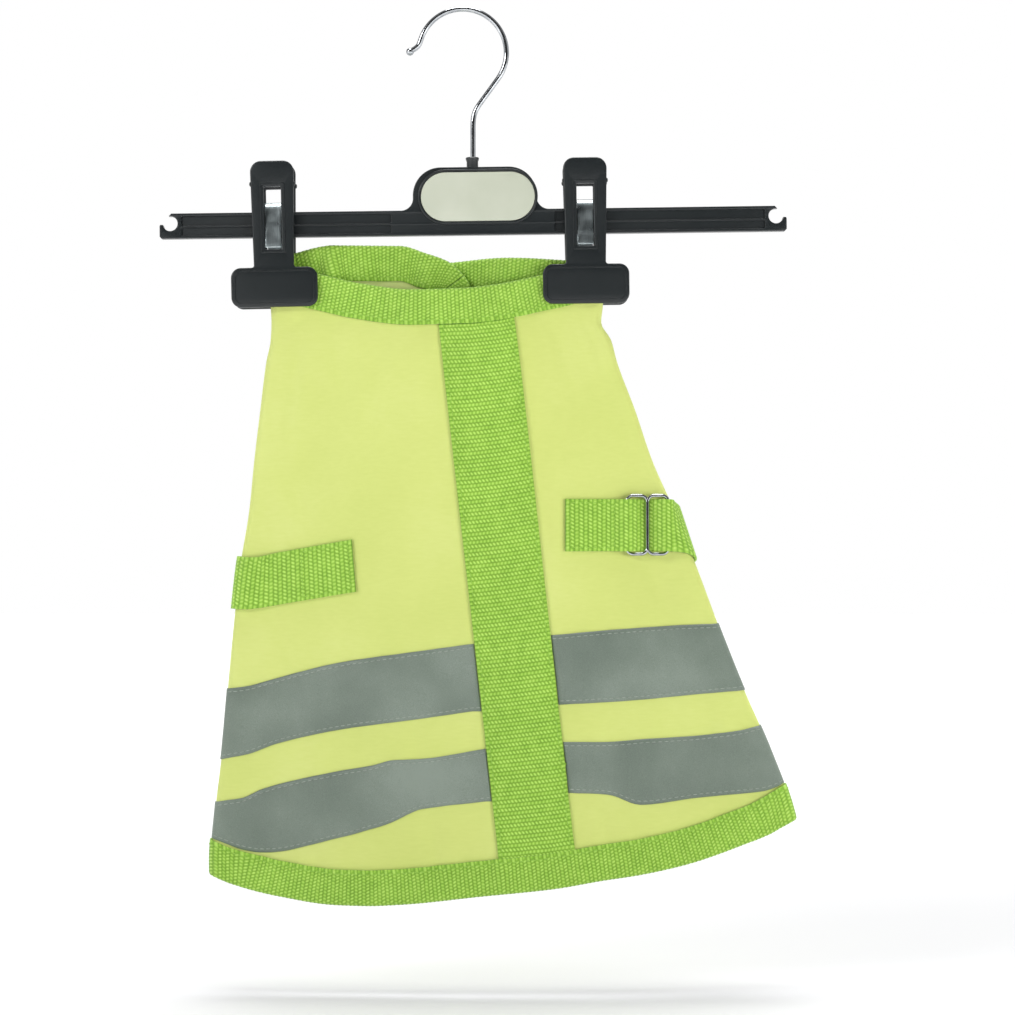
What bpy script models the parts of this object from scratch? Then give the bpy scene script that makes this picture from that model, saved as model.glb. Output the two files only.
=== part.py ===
"""Reflective dog coat, its sides folded behind it, held by a two-clip hanger.

Metres, +Z up. The origin is where a rail bears on the inside of the hanger's hook. +X is the
viewer's right, and +Y points away from the viewer, who sees the back panel of the coat.
Tables and sizes are in millimetres, and MM turns them into metres where shapes get their points.
"""
import bisect
import math

import bmesh
import bpy
from mathutils import Matrix, Vector

MM = 0.001

# The folded coat from top to bottom: height, the left and right folds, how far the front and the
# rear layer stand from the middle plane, and how firmly the clips hold the cloth flat (1 is flat).
SECTION_COLUMNS = ("z", "left", "right", "front", "rear", "grip")
SECTIONS = (
    (-110.0, -97.5, 71.5, 9.0, 8.5, 1.00),
    (-126.0, -97.0, 71.0, 9.0, 8.5, 1.00),
    (-148.0, -95.8, 69.8, 9.5, 8.5, 1.00),
    (-156.0, -95.4, 69.0, 10.0, 8.6, 0.90),
    (-165.0, -95.8, 74.0, 10.0, 8.8, 0.75),
    (-176.0, -98.0, 77.0, 11.0, 9.0, 0.55),
    (-200.0, -101.0, 86.0, 12.0, 9.5, 0.20),
    (-225.0, -104.0, 94.5, 12.5, 10.0, 0.00),
    (-250.0, -106.5, 105.5, 13.0, 10.0, 0.00),
    (-280.0, -111.3, 117.4, 13.0, 10.0, 0.00),
    (-310.0, -114.5, 128.6, 13.0, 10.0, 0.00),
    (-340.0, -117.3, 140.6, 12.5, 10.0, 0.00),
    (-370.0, -120.0, 153.7, 12.0, 10.0, 0.00),
    (-400.0, -123.5, 164.6, 11.0, 9.5, 0.00),
    (-425.0, -125.4, 170.0, 10.2, 9.0, 0.00),
    (-455.0, -125.0, 173.0, 10.0, 9.0, 0.00),
)

# Outer edges of the coat. w is the place across the cloth as if the two folds were opened out:
# on the front w is x, and behind a fold it runs on by the distance from that fold.
NECK_EDGE = (  # w, z
    (-198.0, -138.0), (-186.0, -124.7), (-175.0, -120.5), (-163.0, -117.0), (-130.0, -117.0),
    (-110.0, -121.0), (-97.0, -126.0), (-71.0, -132.0), (-50.0, -136.8), (-25.0, -139.8),
    (0.0, -139.0), (16.0, -137.2), (40.0, -132.2), (70.8, -126.0), (90.0, -124.5),
    (122.0, -123.0), (149.0, -125.0), (172.0, -126.6), (186.0, -129.5), (200.0, -135.5),
    (212.0, -146.0),
)
HEM_EDGE = (  # w, z
    (-150.0, -413.5), (-143.0, -421.0), (-136.0, -427.0), (-127.0, -432.2), (-115.0, -437.4),
    (-92.0, -443.2), (-63.0, -447.3), (-48.0, -447.6), (-31.0, -446.8), (7.0, -442.8),
    (45.0, -438.9), (69.0, -434.9), (89.0, -432.0), (113.0, -426.8), (142.0, -416.9),
    (153.0, -412.5), (160.5, -408.3), (167.0, -405.5), (190.0, -409.5), (209.0, -411.5),
    (224.0, -407.5),
)
# How far the cloth reaches behind each fold: a chest flap with a round end, then this.
FLAP_END_RADIUS = 30.0
FLAP_END_Z = -150.0
FLAP_END_ANGLES = (65.0, -45.0)
FLAP_END_STEPS = 11
FLAP_REACH_LEFT, FLAP_REACH_RIGHT = 103.0, 137.5
LEFT_REACH = (  # z, reach
    (-181.0, 79.0), (-190.0, 65.0), (-199.0, 52.0), (-209.0, 40.0), (-221.0, 31.0), (-237.0, 28.0),
    (-263.0, 31.0), (-300.0, 37.0), (-340.0, 43.0), (-370.0, 43.0), (-385.0, 40.5),
    (-398.0, 34.5), (-413.5, 25.5),
)
RIGHT_REACH = (  # z, reach
    (-182.5, 111.0), (-191.5, 95.0), (-200.5, 80.0), (-210.0, 67.0), (-222.0, 58.0), (-238.0, 57.0),
    (-263.0, 66.0), (-302.0, 74.5), (-340.0, 77.0), (-365.0, 75.0), (-383.0, 74.0),
    (-397.0, 68.0), (-407.0, 56.5),
)
ROW_SHARES = (
    0.0, 0.03, 0.055, 0.08, 0.105, 0.13, 0.153, 0.17, 0.187, 0.204, 0.221, 0.24, 0.265, 0.3,
    0.34, 0.385, 0.43, 0.48, 0.53, 0.58, 0.63, 0.68, 0.73, 0.78, 0.83, 0.88, 0.92, 0.95, 0.975, 1.0,
)

# Soft troughs in the cloth: from one end to the other, half width and depth.
CREASES = (  # w_top, z_top, w_bottom, z_bottom, half_width, depth
    (-60.0, -170.0, -84.0, -260.0, 24.0, 0.9),
    (36.0, -190.0, 70.0, -300.0, 24.0, 0.8),
    (-62.0, -320.0, -48.0, -430.0, 24.0, 0.8),
    (82.0, -320.0, 78.0, -420.0, 24.0, 0.9),
    (-142.0, -230.0, -146.0, -390.0, 22.0, 0.6),
    (166.0, -240.0, 196.0, -390.0, 24.0, 0.7),
)
CREASE_FADE = (7.0, 27.0)   # from none to full depth, by the distance from a fold

FOLD_RADIUS = 3.0           # middle of the cloth, at the left and right folds
GRIP_LEFT = 27.0            # cloth that each clip holds flat, from its fold
GRIP_RIGHT = 32.0
SWELL_SPREAD = 0.42         # share of the width over which a layer rises to its full bulge
FLAP_STEP = 4.8             # the right chest flap lies outside the left one by this much
FLAP_STEP_X = (38.5, -7.0)  # where the step starts and where it is full
FLAP_STEP_Z = (-235.0, -180.0)
FOLD_STEPS = (-7.0, -3.0, -0.88, 0.0, 0.88, 3.0, 7.0)     # 45 degrees apart round the fold

EDGE_COLUMNS = (0.0, 7.5, 15.0)         # from a side flap's edge
SETTLE_START, SETTLE_STEPS = -250.0, 60     # where the search for a grid point begins, and its length
LEFT_FLAP_COLUMNS, FRONT_COLUMNS, RIGHT_FLAP_COLUMNS = 7, 13, 11

GAP = 0.3                   # between pieces that are sewn or lie together
SHELL_THICK = 1.0
TAPE_THICK = 1.0
TAPE_LIFT = SHELL_THICK / 2 + GAP + TAPE_THICK / 2
BAND_THICK = 1.2
BAND_LIFT = SHELL_THICK / 2 + GAP + BAND_THICK / 2
BAND_HALF = 19.1            # the band is the same 38 mm webbing as the binding, laid flat
BAND_X, BAND_Z, BAND_LEAN = 7.5, -160.0, -0.1129
BAND_COLUMNS = (-1.0, -0.5, 0.0, 0.5, 1.0)
BAND_STEPS = 22

BINDING_THICK = 1.0         # 38 mm webbing folded in half over the cloth's edge
BINDING_TURN = 1.42         # middle of the webbing from the middle of the cloth
BINDING_SHOWS = 18.0
EDGE_INSET = BINDING_TURN + BINDING_THICK / 2   # from the binding's outer edge to the cloth's
BINDING_LEGS = (BINDING_SHOWS - EDGE_INSET, 7.5, 0.0)
BINDING_ANGLES = (30.0, -30.0)
CORNER_TRIM = 0.35
DIRECTION_PASSES = 2
FOLD_FOLLOW = (7.0, 22.0)   # bindings run along a fold within the first distance from it

# Reflective tapes: the height of the top and bottom edge at each place across the cloth.
TAPE_COLUMNS = ("w", "top", "bottom")
UPPER_LEFT_TAPE = (
    (-150.0, -356.0, -390.0), (-119.0, -339.8, -374.5), (-107.0, -338.0, -372.0),
    (-93.0, -334.1, -366.8), (-61.0, -326.0, -359.5), (-21.0, -320.1, -353.8), (5.0, -316.5, -350.0),
)
UPPER_RIGHT_TAPE = (
    (45.0, -312.2, -346.9), (80.7, -309.3, -345.2), (128.0, -307.0, -341.2),
    (141.0, -313.4, -340.4), (204.0, -344.0, -367.0), (217.0, -350.0, -373.0),
)
LOWER_LEFT_TAPE = (
    (-129.5, -399.0, -410.5), (-127.0, -397.5, -413.0), (-120.0, -395.5, -416.2),
    (-110.0, -394.0, -419.8), (-99.6, -389.3, -421.3), (-63.0, -380.5, -413.9),
    (-44.6, -377.2, -408.8), (-34.5, -374.5, -405.3), (-21.0, -373.8, -399.0), (12.0, -368.6, -394.8),
)
LOWER_RIGHT_TAPE = (
    (51.0, -365.3, -390.5), (72.0, -365.5, -391.6), (89.0, -364.3, -396.9), (116.0, -362.8, -393.8),
    (139.0, -360.2, -391.8), (149.5, -358.0, -390.8), (157.0, -361.5, -388.6), (162.0, -364.0, -386.2),
    (178.0, -371.6, -388.4), (190.0, -377.4, -390.4), (200.0, -382.2, -391.4),
)
TAPE_ROWS = (0.0, 0.333, 0.667, 1.0)
TAPE_MARGIN = 1.0           # from a tape's end to its next column
TAPE_END_INSET = 18.1       # from the yellow cloth's side edge to the end of a tape behind a fold

# Belly strap: from under the slider on the right, round behind the coat, to the left.
STRAP_HALF = 13.0
STRAP_THICK = 1.2
STRAP_LIFT = SHELL_THICK / 2 + GAP + STRAP_THICK / 2
STRAP_LIFT_REAR = 2.9       # clear of the bindings on the flaps that it crosses
STRAP_LIFT_LEFT = 2.2       # where it has come round the left fold
STRAP_ROWS = (STRAP_HALF, STRAP_HALF / 3, -STRAP_HALF / 3, -STRAP_HALF)
STRAP_RIGHT_X = (51.0, 59.0, 67.0, 73.5)
STRAP_RIGHT_Z = -257.6
STRAP_FOLD_Z = -261.5
STRAP_FOLD = (107.5, -245.0, -0.33)     # x of the strap's right fold at a height, and its lean
STRAP_FOLD_RADIUS = 5.8
STRAP_FOLD_INSETS = (2.4, 0.7, 0.0, 0.7, 2.4, 5.8)
STRAP_BACK = ((98.0, -263.5), (-98.0, -285.7))
STRAP_BACK_COLUMNS = 18
STRAP_LEFT_Z = -286.6
STRAP_LEFT_END = (-53.8, -277.7)
STRAP_LEFT_COLUMNS = 5
STRAP_LEFT_LEAN = -0.08

# Slider: two wire loops side by side; the strap runs over their outer bars and behind the middle.
WIRE_RADIUS = 0.9
LOOP_WIDTH = 9.75
LOOP_PITCH = 11.25
LOOP_CENTRE_X = 92.3
LOOP_HALF_HEIGHT = 14.6
LOOP_CORNER = 2.4
LOOP_STEPS = 3
SLIDER_Z = -257.4
SLIDER_Y = -7.65
SLIDER_TURN = 0.07          # y for each mm to the right
SLIDER_NOD = 0.05           # y for each mm up
SLIDER_CLEAR = 1.85         # middle of the strap from the middle of a wire
SLIDER_STATIONS = (         # x, side of the wires: 1 is in front of them
    (79.8, 0.85), (80.8, 1.0), (82.8, 1.0), (90.4, -1.0), (94.2, -1.0), (101.8, 1.0), (104.3, 0.86),
)

# Hanger
BAR_CENTRE_X = 5.2
BAR_TOP_Z = -99.65
BAR_RISE = math.radians(0.74)
BAR_HALF_LENGTH = 157.0
BAR_HEIGHT = 12.6
BAR_THICK = 6.0
BAR_CORNER = 1.0
HUMP_CENTRE = 1.0
HUMP_HALF = 31.0
HUMP_HEIGHT = 21.4
HUMP_CORNER = 14.0
HUMP_FOOT = 6.0
HUMP_STEPS = 7
CORNER_STEPS = 5            # faces round each small corner of the hanger
NOTCH_RADIUS = 3.75
NOTCH_FROM_END = 5.3
NOTCH_BELOW_TOP = 5.0
NOTCH_ANGLES = (100.0, -171.0)
NOTCH_STEPS = 12
NOTCH_OVERHANG = 0.6        # the prong above a notch ends this far inside the notch's middle
PRONG_TIP = ((0.4, -5.6), (0.0, -6.2))  # of the lower prong, from the bar's end and its top
RECESS_DEPTH = 1.0
RECESS_SPAN = (41.0, 146.0)         # along each arm, from the bar's centre
RECESS_LEVELS = ((-1.5, -6.2), (-7.2, -11.1))
SOCKET_RADIUS = 3.4
SOCKET_TOP_Z = -73.25
SOCKET_FOOT_Z = -80.5
BORE_RADIUS = 1.65
BORE_DEPTH = 8.0
SOCKET_SIDES, BORE_SIDES = 16, 12
PLATE_LENGTH = 57.0
PLATE_HEIGHT = 24.5
PLATE_THICK = 1.0
PLATE_CENTRE = (7.75, -93.2)
PLATE_STEPS = 10

HOOK_RADIUS = 1.3
HOOK_ARC_CENTRE = (0.0, -20.7)
HOOK_ARC_RADIUS = 22.0 - HOOK_RADIUS    # a rail bears at the origin, on the inside of the wire
HOOK_TIP = ((-22.1, -17.6), (-26.4, -20.2))
HOOK_ARC = (166.0, -36.0)
HOOK_NECK = ((7.2, -48.2), (5.7, -51.5), (5.2, -55.5), (5.2, -64.0))
HOOK_BALL_RADIUS = 1.9
HOOK_STEPS = 22

CLIPS = (  # name, x, height of the jaw's bottom, lean in degrees with the top to the left
    ("clip_left", -93.6, -148.65, 1.3),
    ("clip_right", 61.9, -146.9, 0.7),
)
JAW_WIDTH, JAW_HEIGHT, JAW_CORNER = 43.2, 19.8, 5.0
STEM_WIDTH_FOOT, STEM_WIDTH_TOP, STEM_TOP, STEM_CORNER = 20.0, 21.8, 73.0, 5.5
WINDOW_WIDTH, WINDOW_FOOT, WINDOW_TOP = 8.5, 28.8, 60.0
LEVER_FACE, LEVER_THICK = 5.2, 2.4      # inner face from the middle plane
CHEEK_FACE = 3.3
CHEEK_X, CHEEK_Z = (4.7, 9.4), (36.2, 46.2)
SPRING_WIDTH, SPRING_THICK = 7.9, 0.8
SPRING_PATH = (  # y, z above the jaw's bottom
    (-6.9, 29.6), (-6.2, 35.0), (-5.2, 42.0), (-4.6, 47.0), (-3.6, 50.3), (-1.9, 52.1), (0.0, 52.6),
)


def clear_scene():
    for thing in list(bpy.data.objects):
        bpy.data.objects.remove(thing, do_unlink=True)


def new_collection(name):
    group = bpy.data.collections.new(name)
    bpy.context.scene.collection.children.link(group)
    return group


def new_material(name, colour, roughness, metallic=0.0):
    finish = bpy.data.materials.new(name)
    finish.use_nodes = True
    shader = finish.node_tree.nodes["Principled BSDF"]
    shader.inputs["Base Color"].default_value = (*colour, 1.0)
    shader.inputs["Roughness"].default_value = roughness
    shader.inputs["Metallic"].default_value = metallic
    finish.diffuse_color = (*colour, 1.0)
    return finish


def mix(a, b, share):
    return a + (b - a) * share


def ease(t):
    t = min(max(t, 0.0), 1.0)
    return t * t * (3.0 - 2.0 * t)


def smooth_curve(points):
    """A function through the points that never overshoots them and is level beyond their ends."""
    points = sorted(points)
    keys = [point[0] for point in points]
    values = [point[1] for point in points]
    steps = [b - a for a, b in zip(keys, keys[1:])]
    slopes = [(b - a) / step for a, b, step in zip(values, values[1:], steps)]
    tangents = [slopes[0]]
    for before, after in zip(slopes, slopes[1:]):
        tangents.append(2.0 * before * after / (before + after) if before * after > 0.0 else 0.0)
    tangents.append(slopes[-1])

    def value_at(key):
        if key <= keys[0]:
            return values[0]
        if key >= keys[-1]:
            return values[-1]
        i = bisect.bisect_right(keys, key) - 1
        t = (key - keys[i]) / steps[i]
        rise = values[i + 1] - values[i]
        start, end = tangents[i] * steps[i], tangents[i + 1] * steps[i]
        return values[i] + t * (start + t * (3.0 * rise - 2.0 * start - end
                                             + t * (start + end - 2.0 * rise)))

    return value_at


def arc(centre_x, centre_z, radius, start, end, steps):
    points = []
    for i in range(steps + 1):
        angle = math.radians(mix(start, end, i / steps))
        points.append((centre_x + radius * math.cos(angle), centre_z + radius * math.sin(angle)))
    return points


def column(table, names, key, value):
    return smooth_curve([(row[names.index(key)], row[names.index(value)]) for row in table])


def reach_curve(flap_reach, table):
    """Reach at each height: the round end of a chest flap, then the rows of the table."""
    end = arc(flap_reach - FLAP_END_RADIUS, FLAP_END_Z, FLAP_END_RADIUS, *FLAP_END_ANGLES,
              FLAP_END_STEPS)
    return smooth_curve([(z, reach) for reach, z in end] + list(table))


LEFT, RIGHT, FRONT, REAR, GRIP = (
    column(SECTIONS, SECTION_COLUMNS, "z", name) for name in SECTION_COLUMNS[1:])
NECK = smooth_curve(NECK_EDGE)
HEM = smooth_curve(HEM_EDGE)
REACH_LEFT = reach_curve(FLAP_REACH_LEFT, LEFT_REACH)
REACH_RIGHT = reach_curve(FLAP_REACH_RIGHT, RIGHT_REACH)


def crease_depth(w, z):
    """How far the troughs draw the cloth in at one place; they fade out at the folds."""
    total = 0.0
    for w_top, z_top, w_bottom, z_bottom, half_width, depth in CREASES:
        along = (z - z_top) / (z_bottom - z_top)
        if 0.0 < along < 1.0:
            aside = abs(w - mix(w_top, w_bottom, along)) / half_width
            if aside < 1.0:
                total += depth * math.sin(math.pi * along) * (1.0 - ease(aside))
    from_fold = min(abs(w - LEFT(z)), abs(w - RIGHT(z)))
    near, far = CREASE_FADE
    return total * ease((from_fold - near) / (far - near))


def surface(w, z):
    """The middle of the cloth at a place of the opened-out coat."""
    left, right = LEFT(z), RIGHT(z)
    if w < left:
        x, side = 2.0 * left - w, 1.0
    elif w > right:
        x, side = 2.0 * right - w, 1.0
    else:
        x, side = w, -1.0
    edge = min(x - left, right - x, FOLD_RADIUS)
    depth = math.sqrt(max(edge * (2.0 * FOLD_RADIUS - edge), 0.0))
    spread = SWELL_SPREAD * (right - left)
    swell = (ease((x - left - GRIP_LEFT * GRIP(z)) / spread)
             * ease((right - x - GRIP_RIGHT * GRIP(z)) / spread))
    bulge = FRONT(z) if side < 0.0 else REAR(z)
    depth += (bulge - FOLD_RADIUS) * swell
    if w > right:
        start, full = FLAP_STEP_X
        low, high = FLAP_STEP_Z
        depth += FLAP_STEP * ease((start - x) / (start - full)) * ease((z - low) / (high - low))
    depth -= crease_depth(w, z)
    return Vector((x, side * depth, z))


def lifted(w, z, lift):
    """A point moved out from the middle of the cloth, or in if lift is negative."""
    small = 0.01
    across = surface(w + small, z) - surface(w - small, z)
    up = surface(w, z + small) - surface(w, z - small)
    return surface(w, z) + across.cross(up).normalized() * lift


def settle(place, level):
    """The point where a column, w at each height, meets a row, the height at each w."""
    z = SETTLE_START
    for _ in range(SETTLE_STEPS):
        z = 0.5 * (z + level(place(z)))
    return place(z), z


def beside(line, step):
    """A column at a fixed distance to the right of another, or to its left if step is negative."""
    return lambda z: line(z) + step


def upright(w):
    return lambda z: w


def below_neck(inset):
    return lambda w: NECK(w) - inset


def above_hem(inset):
    return lambda w: HEM(w) + inset


def between(start, end, count):
    """Columns evenly spaced between two others."""
    def one(share):
        return lambda z: mix(start(z), end(z), share)
    return [one((i + 1) / (count + 1)) for i in range(count)]


def level_between(top, bottom, share):
    return lambda w: mix(top(w), bottom(w), share)


def fold_columns(fold):
    return [beside(fold, step) for step in FOLD_STEPS]


def left_edge(z):
    """The edge of the yellow cloth behind the left fold."""
    return LEFT(z) - REACH_LEFT(z) + EDGE_INSET


def right_edge(z):
    """The edge of the yellow cloth behind the right fold."""
    return RIGHT(z) + REACH_RIGHT(z) - EDGE_INSET


def body_columns():
    """Columns of the left flap, the left fold, the front, the right fold and the right flap."""
    left_fold, right_fold = fold_columns(LEFT), fold_columns(RIGHT)
    left_flap = [beside(left_edge, step) for step in EDGE_COLUMNS]
    left_flap += between(left_flap[-1], left_fold[0], LEFT_FLAP_COLUMNS)
    front = between(left_fold[-1], right_fold[0], FRONT_COLUMNS)
    right_flap = [beside(right_edge, -step) for step in reversed(EDGE_COLUMNS)]
    right_flap = between(right_fold[-1], right_flap[0], RIGHT_FLAP_COLUMNS) + right_flap
    return left_flap + left_fold + front + right_fold + right_flap


def body_grid():
    """Rows from neck to hem of points (w, z) on the yellow cloth."""
    places = body_columns()
    top, bottom = below_neck(EDGE_INSET), above_hem(EDGE_INSET)
    levels = [level_between(top, bottom, share) for share in ROW_SHARES]
    return [[settle(place, level) for place in places] for level in levels]


def cloth(name, rows, thickness, finish, group):
    """A grid with its points moved to the given rows of points, thickened to both sides."""
    last_column, last_row = len(rows[0]) - 1, len(rows) - 1
    grid = bmesh.new()
    bmesh.ops.create_grid(grid, x_segments=last_column, y_segments=last_row, size=1.0)
    for vertex in grid.verts:
        i = round((1.0 + vertex.co.x) / 2.0 * last_column)
        j = round((1.0 - vertex.co.y) / 2.0 * last_row)
        vertex.co = rows[j][i] * MM
    mesh = bpy.data.meshes.new(name)
    grid.to_mesh(mesh)
    grid.free()
    mesh.shade_smooth()
    piece = bpy.data.objects.new(name, mesh)
    group.objects.link(piece)
    wall = piece.modifiers.new("wall", "SOLIDIFY")
    wall.thickness = thickness * MM
    wall.offset = 0.0
    wall.use_even_offset = True
    wall.use_quality_normals = True
    piece.data.materials.append(finish)
    return piece


def lifted_rows(rows, lift):
    return [[lifted(w, z, lift) for w, z in row] for row in rows]


def inward_directions(loop):
    """Unit directions into the cloth at each point of its clockwise outline, evened out so that
    the webbing's inner edges don't cross where the outline turns."""
    directions = []
    for i, point in enumerate(loop):
        before, after = loop[i - 1], loop[(i + 1) % len(loop)]
        into = Vector((0.0, 0.0))
        for a, b in ((before, point), (point, after)):
            run = Vector((b[0] - a[0], b[1] - a[1])).normalized()
            into += Vector((run.y, -run.x))
        directions.append(into.normalized())
    for _ in range(DIRECTION_PASSES):
        directions = [(directions[i - 1] + 2.0 * into + directions[(i + 1) % len(loop)]).normalized()
                      for i, into in enumerate(directions)]
    return directions


def binding_point(w, z, into, inset, lift):
    """A point of the binding: inset from the cloth's edge, and lift out from its middle."""
    plain = Vector((w, z)) + into * inset
    fold = LEFT if abs(w - LEFT(z)) < abs(w - RIGHT(z)) else RIGHT
    fold_z = z + math.copysign(inset, into.y * inset)
    along = Vector((w + fold(fold_z) - fold(z), fold_z))
    near, far = FOLD_FOLLOW
    place = along.lerp(plain, ease((abs(w - fold(z)) - near) / (far - near)))
    return lifted(place.x, place.y, lift)


def binding_profile():
    """(inset, lift) round the folded webbing, from the outer leg to the inner one."""
    outer = [(inset, BINDING_TURN) for inset in BINDING_LEGS]
    turn = [(-BINDING_TURN * math.cos(math.radians(angle)), BINDING_TURN * math.sin(math.radians(angle)))
            for angle in BINDING_ANGLES]
    return outer + turn + [(inset, -lift) for inset, lift in reversed(outer)]


def trimmed(points):
    """The same line with both ends drawn back, so that two bindings stay apart at a corner."""
    ends = []
    for end, inner in ((points[0], points[1]), (points[-1], points[-2])):
        run = Vector((inner[0] - end[0], inner[1] - end[1])).normalized() * CORNER_TRIM
        ends.append((end[0] + run.x, end[1] + run.y))
    return [ends[0]] + list(points[1:-1]) + [ends[1]]


def binding(name, points, directions, finish, group):
    stations = list(zip(trimmed(points), directions))
    rows = [[binding_point(w, z, into, inset, lift) for (w, z), into in stations]
            for inset, lift in binding_profile()]
    return cloth(name, rows, BINDING_THICK, finish, group)


def make_bindings(grid, finish, group):
    """Webbing over the neck edge, and over the side flaps, leg cut-outs and hem."""
    top, bottom = grid[0], grid[-1]
    right_side = [row[-1] for row in grid]
    left_side = [row[0] for row in grid]
    loop = top + right_side[1:] + bottom[-2::-1] + left_side[-2:0:-1]
    directions = inward_directions(loop)
    corner = len(top) - 1
    binding("neck_binding", top, directions[:corner + 1], finish, group)
    binding("edge_binding", loop[corner:] + loop[:1], directions[corner:] + directions[:1],
            finish, group)


def band_centre(z):
    return BAND_X + (z - BAND_Z) * BAND_LEAN


def make_centre_band(finish, group):
    places = [beside(band_centre, share * BAND_HALF) for share in BAND_COLUMNS]
    inner_edge = BINDING_SHOWS + 2.0 * GAP
    top, bottom = below_neck(inner_edge), above_hem(inner_edge)
    rows = [[settle(place, level_between(top, bottom, i / BAND_STEPS)) for place in places]
            for i in range(BAND_STEPS + 1)]
    cloth("centre_band", lifted_rows(rows, BAND_LIFT), BAND_THICK, finish, group)


def make_tape(name, table, start, end, finish, group):
    """One tape between two upright edges; between them it has the yellow cloth's own columns."""
    top = column(table, TAPE_COLUMNS, "w", "top")
    bottom = column(table, TAPE_COLUMNS, "w", "bottom")
    levels = [level_between(top, bottom, share) for share in TAPE_ROWS]
    inner = []
    for place in body_columns():
        crossings = [settle(place, level) for level in (levels[0], levels[-1])]
        if all(start(z) + TAPE_MARGIN < w < end(z) - TAPE_MARGIN for w, z in crossings):
            inner.append(place)
    rows = [[settle(place, level) for place in [start] + inner + [end]] for level in levels]
    cloth(name, lifted_rows(rows, TAPE_LIFT), TAPE_THICK, finish, group)


def make_tapes(finish, group):
    """Each tape runs from beside the centre band round a fold and on behind it."""
    left_of_band = beside(band_centre, -BAND_HALF - GAP)
    right_of_band = beside(band_centre, BAND_HALF + GAP)
    upper_left_end = beside(left_edge, TAPE_END_INSET)
    upper_right_end = beside(right_edge, -TAPE_END_INSET)
    lower_left_end = upright(LOWER_LEFT_TAPE[0][0])
    lower_right_end = upright(LOWER_RIGHT_TAPE[-1][0])
    make_tape("upper_tape_left", UPPER_LEFT_TAPE, upper_left_end, left_of_band, finish, group)
    make_tape("upper_tape_right", UPPER_RIGHT_TAPE, right_of_band, upper_right_end, finish, group)
    make_tape("lower_tape_left", LOWER_LEFT_TAPE, lower_left_end, left_of_band, finish, group)
    make_tape("lower_tape_right", LOWER_RIGHT_TAPE, right_of_band, lower_right_end, finish, group)


def slider_plane(x, z):
    """y of the plane through the slider's wires."""
    return SLIDER_Y + SLIDER_TURN * (x - LOOP_CENTRE_X) + SLIDER_NOD * (z - SLIDER_Z)


def strap_fold(z):
    x, height, lean = STRAP_FOLD
    return x + (z - height) * lean


def strap_columns():
    """Functions that give each cross-line of the strap, from a distance above its middle."""
    def on_front(x, centre, lift, lean=0.0):
        return lambda t: lifted(x + lean * t, centre + t, lift)

    def on_slider(x, centre, side):
        return lambda t: Vector((x, slider_plane(x, centre + t) - side * SLIDER_CLEAR, centre + t))

    def on_right_fold(inset, centre, side):
        y = side * math.sqrt(inset * (2.0 * STRAP_FOLD_RADIUS - inset))
        return lambda t: Vector((strap_fold(centre + t) - inset, y, centre + t))

    def on_back(x, centre):
        fold = RIGHT if x > 0.0 else LEFT
        return lambda t: lifted(2.0 * fold(centre + t) - x, centre + t, STRAP_LIFT_REAR)

    def on_left_fold(step, centre, lift):
        return lambda t: lifted(LEFT(centre + t) + step, centre + t, lift)

    lines = [on_front(x, STRAP_RIGHT_Z, STRAP_LIFT) for x in STRAP_RIGHT_X]
    lines += [on_slider(x, STRAP_RIGHT_Z, side) for x, side in SLIDER_STATIONS]
    turn = STRAP_FOLD_INSETS.index(0.0)
    for i, inset in enumerate(STRAP_FOLD_INSETS):
        centre = mix(STRAP_RIGHT_Z, STRAP_FOLD_Z, (i + 1) / (turn + 1))
        lines.append(on_right_fold(inset, centre, -1.0 if i < turn else 1.0))
    (start_x, start_z), (end_x, end_z) = STRAP_BACK
    for i in range(STRAP_BACK_COLUMNS):
        share = i / (STRAP_BACK_COLUMNS - 1)
        lines.append(on_back(mix(start_x, end_x, share), mix(start_z, end_z, share)))
    first, last = FOLD_STEPS[0], FOLD_STEPS[-1]
    for step in FOLD_STEPS:
        lift = mix(STRAP_LIFT_REAR, STRAP_LIFT_LEFT, ease((step - first) / (last - first)))
        lines.append(on_left_fold(step, STRAP_LEFT_Z, lift))
    end_x, end_z = STRAP_LEFT_END
    for i in range(STRAP_LEFT_COLUMNS):
        share = (i + 1) / STRAP_LEFT_COLUMNS
        x = mix(LEFT(STRAP_LEFT_Z) + last, end_x, share)
        lines.append(on_front(x, mix(STRAP_LEFT_Z, end_z, share), STRAP_LIFT, STRAP_LEFT_LEAN * share))
    return lines


def make_belly_strap(finish, group):
    lines = strap_columns()
    rows = [[line(t) for line in lines] for t in STRAP_ROWS]
    cloth("belly_strap", rows, STRAP_THICK, finish, group)


def mesh_from_curve(piece, group):
    """The curve object as a mesh with its caps welded on, in the same place."""
    bpy.context.view_layer.update()
    evaluated = piece.evaluated_get(bpy.context.evaluated_depsgraph_get())
    mesh = bpy.data.meshes.new_from_object(evaluated)
    shape = bmesh.new()
    shape.from_mesh(mesh)
    bmesh.ops.remove_doubles(shape, verts=shape.verts, dist=0.00001)
    shape.to_mesh(mesh)
    shape.free()
    solid = bpy.data.objects.new(piece.name, mesh)
    group.objects.link(solid)
    solid.matrix_world = piece.matrix_world.copy()
    name = piece.name
    bpy.data.objects.remove(piece, do_unlink=True)
    solid.name = name
    return solid


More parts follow.
